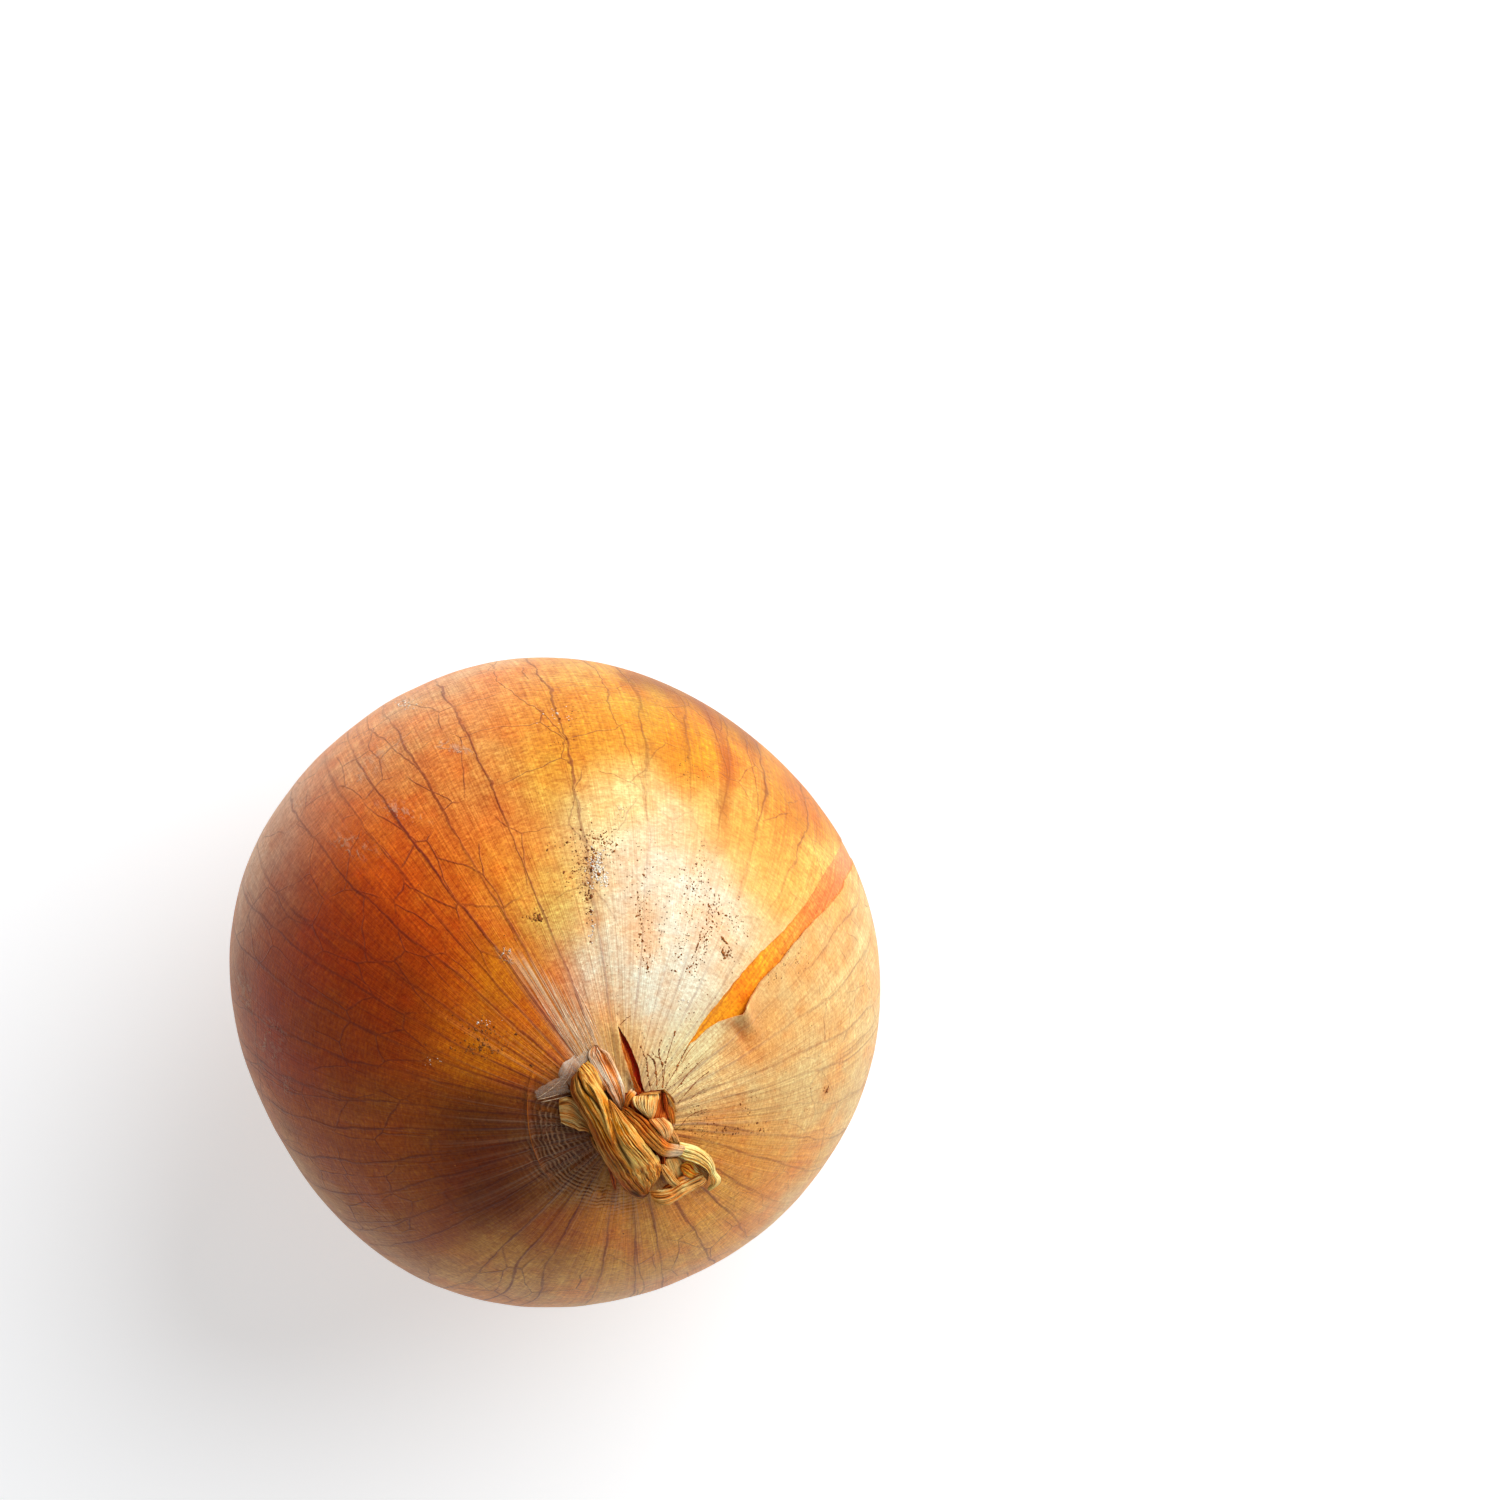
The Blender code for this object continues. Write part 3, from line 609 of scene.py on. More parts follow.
    back_scuff = smooth(0.62, 0.8, fbm(dirs[:, 0] * 3, dirs[:, 1] * 3, dirs[:, 2] * 3, 71, 3)) * 0.6
    scuff = np.maximum(scuff, back_scuff * (1 - seen))
    soil = np.maximum(soil, (1 - seen) * 0.30 * smooth(0.55, 0.8, fbm(dirs[:, 0] * 4, dirs[:, 1] * 4, dirs[:, 2] * 4, 72, 3)))
    soil = np.maximum(soil, 0.45 * smooth(150, 166, down))
    put_colour(ob, "marks", np.stack([soil, fan, scuff], -1)[src])
    # veins fade over the pale crown, which is partly a painted highlight
    pale = np.maximum(blob(px, py, 690, 900, 110, 140), blob(px, py, 660, 1020, 60, 60)) * seen
    vein = 1.0 - 0.86 * pale
    vein = vein * (1 - 0.52 * smooth(700, 780, px) * smooth(860, 940, py) * seen)
    vein = vein * (1 - 0.42 * upper_left(px, py, dirs) * seen)
    vein = vein * (0.75 + 0.25 * smooth(0.3, 0.7, noise3(dirs[:, 0] * 3, dirs[:, 1] * 3, dirs[:, 2] * 3, 77)))
    hatch = (blob(px, py, 566, 1154, 32, 30, 0) + blob(px, py, 602, 1196, 32, 13, 20)
             + 0.8 * blob(px, py, 548, 1118, 14, 26)) * (px < 650)
    hatch = np.clip(hatch, 0, 1) * seen
    rust_and_dent_shade = np.zeros(px.shape)
    for mid, wide, lo, hi, k in ((129.3, 2.2, 62, 96, 0.8), (121.5, 2.4, 50, 98, 1.0), (113.0, 1.6, 58, 90, 0.7),
                                 (117.5, 1.1, 55, 80, 0.5), (136.0, 2.0, 70, 96, 0.5), (147.0, 1.6, 66, 84, 0.35)):
        side = (around - mid + 2.5 * (noise3(down / 9.0, mid, 0.5, 81) - 0.5) + 180) % 360 - 180
        rust_and_dent_shade = np.maximum(rust_and_dent_shade, k * np.exp(-((side / wide) ** 2)) * smooth(lo, lo + 12, down) * (1 - smooth(hi, hi + 14, down)))
    rust_and_dent_shade = np.maximum(rust_and_dent_shade, 0.8 * blob(px, py, 728, 1131, 20, 6, 5))
    rust_and_dent_shade = np.maximum(rust_and_dent_shade, 0.9 * blob(px, py, 826, 1090, 4, 5))
    # painted shade in the dent that runs from the tear's lifted lip
    rust_and_dent_shade = np.maximum(rust_and_dent_shade, 0.95 * blob(px, py, 738, 1030, 6, 22, -38))
    rust_and_dent_shade = np.maximum(rust_and_dent_shade, 0.40 * smooth(0.6, 0.8, fbm(np.cos(a) * 5, np.sin(a) * 5, down / 40.0, 83, 2)) * (1 - seen))
    put_colour(ob, "lines", np.stack([vein, hatch, np.clip(rust_and_dent_shade, 0, 1)], -1)[src])
    u, gap = vein_phase(around, down, dirs)
    put_float(ob, "gap", gap[src])
    put_phase_uv(ob, u[src], np.radians(down)[src], len(VEINS))
    return ob


def build_under_skin():
    cols, rows = 300, np.concatenate([np.arange(1.5, 40, 0.8), np.arange(40, 108, 1.3), np.arange(108, 176, 2.2)])
    a = np.arange(cols) * 360.0 / cols
    A, R = np.meshgrid(a, rows)
    around, down = A.ravel(), R.ravel()
    around = np.append(around, (0.0, 0.0))
    down = np.append(down, (0.0, 180.0))
    dirs = direction(around, down)
    tear, half = opening(TEAR, down)
    beside = np.abs((around - tear + 180) % 360 - 180) * np.sin(np.radians(down))
    close = np.exp(-(np.maximum(0.0, beside - 2.5) / 2.5) ** 2) * smooth(14, 17, down) * (1 - smooth(103, 108, down))
    ca, sa = np.cos(np.radians(around)), np.sin(np.radians(around))
    same = 0.5 * (fbm(dirs[:, 0] * 2.4 + 5, dirs[:, 1] * 2.4, dirs[:, 2] * 2.4, 3, 3) - 0.5)
    same = same + 0.10 * (fbm(ca * 9, sa * 9, down / 22.0, 11, 2) - 0.5)
    r = skin_radius(dirs) - 0.65 + close * (0.38 + 0.18 * smooth(48, 70, down) + same)
    cut, wide_cut = opening(SLIT, down)
    deep_cut = np.exp(-(((around - cut + 180) % 360 - 180) / (wide_cut + 7.0)) ** 2) * smooth(3, 7, down) * (1 - smooth(15, 20, down))
    r = r - 0.50 * deep_cut
    r = r + 0.10 * (1 - close) * (fbm(dirs[:, 0] * 4, dirs[:, 1] * 4, dirs[:, 2] * 4, 91, 2) - 0.5)
    verts = CENTRE + dirs * r[:, None]
    verts = settle(verts, 0.65)
    faces = []
    m = len(rows)
    for j in range(m - 1):
        for i in range(cols):
            n = (i + 1) % cols
            faces.append([j * cols + i, (j + 1) * cols + i, (j + 1) * cols + n, j * cols + n])
    top, low = m * cols, m * cols + 1
    for i in range(cols):
        n = (i + 1) % cols
        faces.append([top, i, n])
        faces.append([low, (m - 1) * cols + n, (m - 1) * cols + i])
    ob = make_object("onion_under_skin", verts, faces)
    ar = np.radians(around)
    put_vector(ob, "cyl", np.stack([np.cos(ar), np.sin(ar), np.radians(down)], -1))
    px, py = to_frame(verts)
    coral, amber, deep = np.array([0.90, 0.26, 0.085]), np.array([0.88, 0.30, 0.012]), np.array([0.92, 0.035, 0.0005])
    t = smooth(750, 850, px)[:, None]
    tone = amber * (1 - t) + coral * t
    d = np.clip(1.6 * blob(px, py, 634, 1066, 22, 42, 0), 0, 1)[:, None]
    tone = tone * (1 - d) + deep * d
    seen = smooth(-0.1, 0.2, dirs[:, 2])[:, None]
    tone = tone * seen + np.array([0.80, 0.36, 0.09]) * (1 - seen)
    put_colour(ob, "tone", tone)
    u = (around + 3.0 * (fbm(np.cos(ar) * 2, np.sin(ar) * 2, down / 25.0, 95, 2) - 0.5)) / 360.0 * 34.0 + 0.35
    put_float(ob, "gap", 360.0 / 34 * pi / 180 * r * np.sin(np.radians(down)))
    put_phase_uv(ob, u % 34.0, np.radians(down), 34)
    return ob


# ------------------------------------------------------------------ dried leaves of the neck
def neck(x, y):
    """A place in the close window round the neck, as a place in the frame."""
    return 560 + x / 8.711, 1040 + y / 8.711


def spline(stations, t):
    st = np.asarray(stations, float)
    n = len(st) - 1
    s = np.clip(t * n, 0, n - 1e-9)
    i = s.astype(int)
    f = (s - i)[..., None]
    p0, p1 = st[np.maximum(i - 1, 0)], st[i]
    p2, p3 = st[i + 1], st[np.minimum(i + 2, n)]
    return 0.5 * (2 * p1 + (p2 - p0) * f + (2 * p0 - 5 * p1 + 4 * p2 - p3) * f ** 2 + (3 * p1 - p0 - 3 * p2 + p3) * f ** 3)


def leaf(name, stations, colours, along=120, across=36, crown=0.3, body=0.35, ridges=(0.16, 0.08, 0.04),
         ribs=7.0, valleys=(), rough_edge=0.10, rough_end=0.5, seed=1, edge_drop=0.0, window=True, sag=0.0,
         shade=0.0):
    """Dried leaf between two edge lines: crowned, ribbed lengthwise, ragged, with real thickness.

    stations: x, y of the first edge, x, y of the second, height of each edge's top over the skin.
    colours: valley, middle, crest and end colour.
    valleys: (u at start, u at end, start along, end along, half width, depth).
    shade: painted shade, how much darker and browner the leaf is towards its first edge, the side turned from the
    light.
    """
    st = []
    for x1, y1, x2, y2, h1, h2 in stations:
        p, q = (neck(x1, y1), neck(x2, y2)) if window else ((x1, y1), (x2, y2))
        a = from_frame(p[0], p[1], h1)
        b = from_frame(q[0], q[1], h2)
        st.append((a[0], a[1], h1, b[0], b[1], h2))
    s = np.linspace(0, 1, along + 1)
    u = np.linspace(0, 1, across + 1)
    S, Um = np.meshgrid(s, u, indexing="ij")
    # ragged ends: each fibre stops at its own place
    end = rough_end * (noise3(Um * 9, 0.5, seed + 0.5, seed) - 0.5)
    start = rough_end * (noise3(Um * 9, 2.5, seed + 0.5, seed + 1) - 0.5)
    row = spline(st, s)
    mid = (row[:, :2] + row[:, 3:5]) / 2
    length = np.sum(np.linalg.norm(np.diff(mid, axis=0), axis=1)) + 1e-6
    width = np.linalg.norm(row[:, 3:5] - row[:, :2], axis=1)
    T = np.clip(S + (end * smooth(0.75, 1.0, S) - start * (1 - smooth(0.0, 0.25, S))) / length, -0.02, 1.02)
    row = spline(st, np.clip(T.ravel(), 0, 1)).reshape(T.shape + (6,))
    lengthwise = S * length
    jig1 = rough_edge * (2 * fbm(lengthwise * 1.1, 0.5, seed * 3.1, seed + 2, 3) - 1)
    jig2 = rough_edge * (2 * fbm(lengthwise * 1.1, 5.5, seed * 3.1, seed + 3, 3) - 1)
    w = np.linalg.norm(row[..., 3:5] - row[..., :2], axis=-1) + 1e-6
    shift = (1 - Um) * jig1 / w + Um * jig2 / w
    Uw = Um + shift
    x = row[..., 0] + (row[..., 3] - row[..., 0]) * Uw
    y = row[..., 1] + (row[..., 4] - row[..., 1]) * Uw
    over = row[..., 2] + (row[..., 5] - row[..., 2]) * Um
    bulge = np.sqrt(np.clip(1 - (2 * Um - 1) ** 2, 0, 1))
    over = over + crown * bulge
    wander = 0.10 * (fbm(lengthwise * 0.5, 1.5, seed, seed + 4, 2) - 0.5)
    U2 = Um + wander
    n1 = 1 - np.abs(2 * noise3(U2 * ribs, lengthwise * 0.16, seed + 0.3, seed + 5) - 1)
    n2 = 1 - np.abs(2 * noise3(U2 * ribs * 2.3, lengthwise * 0.30, seed + 1.3, seed + 6) - 1)
    n3 = 1 - np.abs(2 * noise3(U2 * ribs * 5.0, lengthwise * 0.55, seed + 2.3, seed + 7) - 1)
    relief = ridges[0] * (n1 - 0.6) + ridges[1] * (n2 - 0.6) + ridges[2] * (n3 - 0.6)
    dark = 0.0 * Um
    for u0, u1, s0, s1, half, depth in valleys:
        c = u0 + (u1 - u0) * smooth(s0, s1, S)
        win = smooth(s0 - 0.06, s0 + 0.05, S) * (1 - smooth(s1 - 0.08, s1 + 0.04, S))
        v = np.exp(-(((U2 - c) / half) ** 2)) * win
        relief = relief - depth * v
        dark = np.maximum(dark, v * min(1.0, abs(depth) / 0.4) * (1 if depth > 0 else 0))
    relief = relief * (0.4 + 0.6 * bulge)
    over = over + relief - edge_drop * (1 - bulge) ** 2
    over = np.maximum(over, 0.12)
    thick = body * (0.30 + 0.70 * bulge)
    under = np.maximum(over - thick - sag * bulge, 0.03)
    top = over_spot(x, y, over)
    low = over_spot(x, y, under)
    rows, cols = along + 1, across + 1
    verts = np.concatenate([top.reshape(-1, 3), low.reshape(-1, 3)])
    k = rows * cols
    idx = np.arange(k).reshape(rows, cols)
    faces = []
    flip = np.cross(top[1, 0] - top[0, 0], top[0, 1] - top[0, 0])[2] < 0
    for j in range(along):
        for i in range(across):
            f = [idx[j, i], idx[j + 1, i], idx[j + 1, i + 1], idx[j, i + 1]]
            b = [v + k for v in reversed(f)]
            faces += [f[::-1], b[::-1]] if flip else [f, b]
    rim = [idx[j, 0] for j in range(rows)] + [idx[rows - 1, i] for i in range(1, cols)]
    rim += [idx[j, cols - 1] for j in range(rows - 2, -1, -1)] + [idx[0, i] for i in range(cols - 2, 0, -1)]
    for n, v in enumerate(rim):
        w2 = rim[(n + 1) % len(rim)]
        f = [v, v + k, w2 + k, w2] if flip else [w2, w2 + k, v + k, v]
        faces.append(f)
    ob = make_object(name, verts, faces)
    valley, middle, crest, tip = (np.array(c) for c in colours)
    level = 0.42 * n1 + 0.33 * n2 + 0.25 * n3
    lo, hi = smooth(0.36, 0.58, level)[..., None], smooth(0.58, 0.78, level)[..., None]
    col = valley * (1 - lo) + middle * lo
    col = col * (1 - hi) + crest * hi
    patch = fbm(U2 * 3, lengthwise * 0.35, seed + 4.4, seed + 9, 3)
    col = col * (0.72 + 0.56 * patch)[..., None]
    tipw = (smooth(0.74, 0.94, S) * 0.8)[..., None]
    col = col * (1 - tipw) + tip * tipw
    # painted shade in the cut grooves, darker the deeper each groove
    col = col * (1 - 0.75 * dark)[..., None]
    # painted shade: darker and browner towards the first edge, the side turned from the light
    col = col * (1 - shade * (1 - smooth(0.05, 0.42, Um)))[..., None] ** np.array([0.8, 1.3, 1.8])
    col = col * (0.55 + 0.45 * smooth(0.0, 0.25, bulge))[..., None]
    # the lower face gets half the colour: painted shade on the leaf's underside
    both = np.concatenate([col.reshape(-1, 3), col.reshape(-1, 3) * 0.5])
    put_colour(ob, "tone", np.clip(both, 0.004, 0.95))
    lay = np.stack([(Uw * width.mean()), lengthwise, np.full(S.shape, float(seed))], -1).reshape(-1, 3)
    put_vector(ob, "lay", np.concatenate([lay, lay]))
    return ob


def tubes(name, paths, radii, sides=5):
    """One mesh of thin tapered tubes."""
    verts, faces, cols = [], [], []
    for p, rad in zip(paths, radii):
        p = np.asarray(p)
        n = len(p)
        t = np.gradient(p, axis=0)
        t /= np.linalg.norm(t, axis=1, keepdims=True) + 1e-9
        a = np.cross(t, np.array([0.31, 0.17, 0.93]))
        a /= np.linalg.norm(a, axis=1, keepdims=True) + 1e-9
        b = np.cross(t, a)
        base = len(verts)
        for j in range(n):
            r = rad * (1.0 - 0.65 * j / (n - 1)) if np.isscalar(rad) else rad[j]
            for i in range(sides):
                w = 2 * pi * i / sides
                verts.append(p[j] + (a[j] * cos(w) + b[j] * sin(w)) * r)
                cols.append(j / (n - 1))
        for j in range(n - 1):
            for i in range(sides):
                k = (i + 1) % sides
                faces.append([base + j * sides + i, base + j * sides + k, base + (j + 1) * sides + k, base + (j + 1) * sides + i])
        faces.append([base + i for i in reversed(range(sides))])
        faces.append([base + (n - 1) * sides + i for i in range(sides)])
    ob = make_object(name, verts, faces)
    return ob, np.array(cols)


# ------------------------------------------------------------------ materials
class Shader:
    """Small helper that writes node graphs."""

    def __init__(self, name):
        self.mat = bpy.data.materials.new(name)
        self.mat.use_nodes = True
        self.tree = self.mat.node_tree
        self.bsdf = self.tree.nodes["Principled BSDF"]

    def node(self, kind, **props):
        n = self.tree.nodes.new(kind)
        for k, v in props.items():
            setattr(n, k, v)
        return n

    def put(self, socket, value):
        if isinstance(value, bpy.types.NodeSocket):
            self.tree.links.new(value, socket)
        else:
            socket.default_value = value

    def math(self, op, a, b=0.0, c=0.0, clamp=False):
        n = self.node("ShaderNodeMath", operation=op, use_clamp=clamp)
        self.put(n.inputs[0], a)
        self.put(n.inputs[1], b)
        if op in ("MULTIPLY_ADD", "SMOOTH_MIN", "COMPARE", "WRAP"):
            self.put(n.inputs[2], c)
        return n.outputs[0]

    def add(self, a, b):
        return self.math("ADD", a, b)

    def sub(self, a, b):
        return self.math("SUBTRACT", a, b)

    def mul(self, a, b):
        return self.math("MULTIPLY", a, b)

    def step(self, lo, hi, x):
        n = self.node("ShaderNodeMapRange", interpolation_type="SMOOTHSTEP")
        self.put(n.inputs["Value"], x)
        self.put(n.inputs["From Min"], lo)
        self.put(n.inputs["From Max"], hi)
        return n.outputs["Result"]

    def around_one(self, x, amount):
        """Noise turned into a factor about 1."""
        return self.math("MULTIPLY_ADD", x, amount, 1.0 - 0.5 * amount)

    def span(self, x, lo, hi):
        n = self.node("ShaderNodeMapRange")
        self.put(n.inputs["Value"], x)
        n.inputs["To Min"].default_value = lo
        n.inputs["To Max"].default_value = hi
        return n.outputs["Result"]

    def scaled(self, vector, scale, offset=(0, 0, 0)):
        n = self.node("ShaderNodeVectorMath", operation="MULTIPLY_ADD")
        self.put(n.inputs[0], vector)
        n.inputs[1].default_value = scale
        n.inputs[2].default_value = offset
        return n.outputs[0]

    def noise(self, vector, scale=1.0, detail=2.0, rough=0.5, distort=0.0):
        n = self.node("ShaderNodeTexNoise")
        self.put(n.inputs["Vector"], vector)
        n.inputs["Scale"].default_value = scale
        n.inputs["Detail"].default_value = detail
        n.inputs["Roughness"].default_value = rough
        n.inputs["Distortion"].default_value = distort
        return n.outputs[0]

    def cells(self, vector, scale=1.0, feature="F1", random=1.0):
        n = self.node("ShaderNodeTexVoronoi", feature=feature)
        self.put(n.inputs["Vector"], vector)
        n.inputs["Scale"].default_value = scale
        n.inputs["Randomness"].default_value = random
        return n

    def mix(self, factor, a, b, kind="MIX"):
        n = self.node("ShaderNodeMix", data_type="RGBA", blend_type=kind, clamp_factor=True)
        self.put(n.inputs[0], factor)
        self.put(n.inputs[6], a)
        self.put(n.inputs[7], b)
        return n.outputs[2]

    def times(self, colour, value):
        """Colour times a grey value."""
        n = self.node("ShaderNodeVectorMath", operation="SCALE")
        self.put(n.inputs[0], colour)
        self.put(n.inputs["Scale"], value)
        return n.outputs[0]

    def attribute(self, name, output="Color"):
        n = self.node("ShaderNodeAttribute", attribute_name=name)
        return n.outputs[output]

    def parts(self, vector):
        n = self.node("ShaderNodeSeparateXYZ")
        self.put(n.inputs[0], vector)
        return n.outputs[0], n.outputs[1], n.outputs[2]

    def random(self, w):
        n = self.node("ShaderNodeTexWhiteNoise", noise_dimensions="1D")
        self.put(n.inputs["W"], w)
        return n.outputs["Value"]

    def bump(self, height, distance, strength=1.0, normal=None):
        n = self.node("ShaderNodeBump")
        n.inputs["Strength"].default_value = strength
        n.inputs["Distance"].default_value = distance
        self.put(n.inputs["Height"], height)
        if normal is not None:
            self.put(n.inputs["Normal"], normal)
        return n.outputs[0]

    def finish(self, colour, rough, normal=None, **constants):
        self.put(self.bsdf.inputs["Base Color"], colour)
        self.put(self.bsdf.inputs["Roughness"], rough)
        if normal is not None:
            self.put(self.bsdf.inputs["Normal"], normal)
        for k, v in constants.items():
            self.bsdf.inputs[k.replace("_", " ")].default_value = v
        return self.mat


def skin_material(name, under=False):
    s = Shader(name)
    cyl = s.attribute("cyl", "Vector")
    tone = s.attribute("tone")
    uv = s.node("ShaderNodeUVMap", uv_map="veins").outputs[0]
    place = s.node("ShaderNodeTexCoord").outputs["Object"]
    phase, level, _ = s.parts(uv)
    gap = s.attribute("gap", "Fac")

    fibre = s.noise(s.scaled(cyl, (82, 82, 1.9)), detail=4, rough=0.62)
    thread = s.noise(s.scaled(cyl, (190, 190, 7.0), (3, 1, 0)), detail=3, rough=0.65)
    cross = s.noise(s.scaled(cyl, (30, 30, 130), (8, 1, 0)), detail=2, rough=0.6)
    band = s.noise(s.scaled(cyl, (16, 16, 0.9), (7, 0, 2)), detail=2)
    mottle = s.noise(place, scale=430, detail=5, rough=0.70)
    patch = s.noise(place, scale=75, detail=4, rough=0.60)
    grain = s.noise(place, scale=2600, detail=2, rough=0.7)
    pores = s.cells(place, 2300, "F1").outputs["Distance"]

    if not under:
        soil_w, fan_w, scuff_w = s.parts(s.attribute("marks"))
        vein_w, hatch_w, rust_and_dent_shade_w = s.parts(s.attribute("lines"))

    # skin colour with fibres, bands and mottling
    light = s.mul(s.around_one(fibre, 0.80), s.around_one(thread, 0.70))
    light = s.mul(light, s.around_one(mottle, 0.85))
    light = s.mul(light, s.around_one(band, 0.45))
    light = s.mul(light, s.around_one(cross, 1.05))
    light = s.mul(light, s.around_one(grain, 0.90))
    light = s.mul(light, s.around_one(pores, 0.22))
    if not under:
        light = s.add(1.0, s.mul(s.sub(light, 1.0), s.math("MULTIPLY_ADD", vein_w, 0.62, 0.40)))
    # deep colours vary more than pale ones: green and blue fall faster than red
    colour = s.node("ShaderNodeSeparateColor")
    s.put(colour.inputs[0], tone)
    red = s.mul(colour.outputs[0], s.math("POWER", light, 0.75))
    green = s.mul(colour.outputs[1], s.math("POWER", light, 1.35))
    blue = s.mul(colour.outputs[2], s.math("POWER", light, 1.6))
    joined = s.node("ShaderNodeCombineColor")
    s.put(joined.inputs[0], red)
    s.put(joined.inputs[1], green)
    s.put(joined.inputs[2], blue)
    colour = joined.outputs[0]
    warm = s.mix(1.0, colour, (1.04, 0.82, 0.55, 1), "MULTIPLY")
    cool = s.mix(1.0, colour, (1.0, 1.08, 1.0, 1), "MULTIPLY")
    colour = s.mix(s.step(0.38, 0.62, patch), warm, cool)
    blush = s.noise(place, scale=210, detail=3, rough=0.6)
    colour = s.mix(s.mul(s.step(0.52, 0.68, blush), 0.45), colour, s.mix(1.0, colour, (1.05, 0.78, 0.60, 1), "MULTIPLY"))

    # main veins: slightly wandering lines, each with its own strength, some with a branch
    wobble = s.sub(s.noise(s.scaled(cyl, (9, 9, 6)), detail=3, rough=0.55), 0.5)
    tremble = s.sub(s.noise(s.scaled(cyl, (30, 30, 34)), detail=2), 0.5)
    line = s.add(phase, s.add(s.mul(wobble, 0.28), s.mul(tremble, 0.05)))
    number = s.math("ROUND", line)
    wrap = s.math("MODULO", s.add(number, 680.0 if under else 74.0), 34.0 if under else 37.0)
    chance = s.random(wrap)
    offset = s.sub(line, number)
    reach = s.mul(s.math("ABSOLUTE", offset), gap)
    weight = s.span(chance, 0.62, 1.0)
    fade = s.step(0.30, 0.62, s.noise(s.scaled(cyl, (5, 5, 5), (2, 5, 9)), detail=3))
    fade = s.math("MULTIPLY_ADD", fade, 0.50, 0.50)
    thick = s.math("MULTIPLY_ADD", s.noise(s.scaled(cyl, (12, 12, 14), (1, 2, 3)), detail=2), 0.30, 0.07)
    core = s.sub(1.0, s.step(s.mul(thick, 0.25), thick, reach))
    halo = s.sub(1.0, s.step(0.0, 0.80, reach))
    vein = s.mul(s.math("ADD", s.mul(core, 0.92), s.mul(halo, 0.18)), s.mul(weight, fade))
    # branches leave their vein at a place of their own and settle beside it
    chance2 = s.random(s.add(wrap, 50.5))
    chance3 = s.random(s.add(wrap, 91.5))
    begin = s.span(chance2, 0.45, 1.5)
    side = s.math("SIGN", s.sub(chance3, 0.5))
    swing = s.mul(s.step(0.0, 0.45, s.sub(level, begin)), s.mul(side, s.span(chance2, 0.30, 0.48)))
    away = s.mul(s.math("ABSOLUTE", s.sub(offset, swing)), gap)
    branch = s.mul(s.sub(1.0, s.step(0.03, 0.15, away)), s.step(0.0, 0.05, s.sub(level, begin)))
    branch = s.mul(branch, s.mul(s.step(0.30, 0.55, chance3), 0.70))
    # thin links between the veins, drawn in steps of the veins' own spacing
    web_place = s.node("ShaderNodeCombineXYZ")
    warp = s.noise(s.scaled(cyl, (9, 9, 9), (3, 3, 8)), detail=2)
    warp2 = s.noise(s.scaled(cyl, (9, 9, 9), (9, 1, 4)), detail=2)
    s.put(web_place.inputs[0], s.add(s.mul(phase, 0.92), s.mul(s.sub(warp, 0.5), 0.22)))
    s.put(web_place.inputs[1], s.add(s.mul(level, 5.2), s.mul(s.sub(warp2, 0.5), 0.30)))
    web_cells = s.node("ShaderNodeTexVoronoi", feature="DISTANCE_TO_EDGE", voronoi_dimensions="2D")
    s.put(web_cells.inputs["Vector"], web_place.outputs[0])
    web_cells.inputs["Scale"].default_value = 1.0
    web = s.mul(web_cells.outputs["Distance"], gap)
    net = s.noise(s.scaled(cyl, (6, 6, 6)), detail=2)
    links = s.mul(s.sub(1.0, s.step(0.02, 0.13, web)), s.step(0.38, 0.52, net))
    links = s.mul(links, s.step(0.45, 0.75, level))

    if under:
        drawn = s.math("MAXIMUM", s.mul(vein, 0.75), s.mul(links, 0.5))
        colour = s.mix(s.mul(drawn, 0.8), colour, (0.50, 0.12, 0.02, 1))
        height = s.add(s.mul(fibre, 0.30), s.add(s.mul(thread, 0.15), s.mul(drawn, 0.4)))
        normal = s.bump(height, 0.00010)
        return s.finish(colour, s.span(fibre, 0.34, 0.50), normal, Coat_Weight=0.04, Coat_Roughness=0.3,
                        Specular_IOR_Level=0.14)

    drawn = s.math("MAXIMUM", vein, s.math("MAXIMUM", branch, s.mul(links, 0.74)))
    drawn = s.mul(drawn, vein_w)
    dark_line = s.mix(0.45, s.mix(1.0, colour, (0.42, 0.22, 0.34, 1), "MULTIPLY"), (0.15, 0.032, 0.020, 1))
    colour = s.mix(s.mul(drawn, 0.95), colour, dark_line)

    # brown-orange streaks and stains, and painted shade in the dent beside the tear's lifted lip
    ragged = s.step(0.38, 0.62, s.add(s.mul(s.noise(s.scaled(cyl, (70, 70, 9)), detail=4, rough=0.7), 0.75), s.mul(rust_and_dent_shade_w, 0.30)))
    stain_and_dent_shade = s.mul(rust_and_dent_shade_w, ragged)
    colour = s.mix(s.mul(stain_and_dent_shade, 0.80), colour, s.mix(0.45, s.mix(1.0, colour, (0.74, 0.40, 0.20, 1), "MULTIPLY"), (0.40, 0.12, 0.012, 1)))

    # whitish fibres fanning into the neck
    strand = s.noise(s.scaled(cyl, (70, 70, 0.9), (5, 2, 1)), detail=3, rough=0.6)
    white = s.mul(s.step(0.48, 0.58, strand), fan_w)
    colour = s.mix(s.mul(white, 0.74), colour, (1.0, 0.74, 0.44, 1))
    gold = s.mul(s.step(0.47, 0.37, strand), fan_w)
    colour = s.mix(s.mul(gold, 0.75), colour, (0.60, 0.22, 0.035, 1))
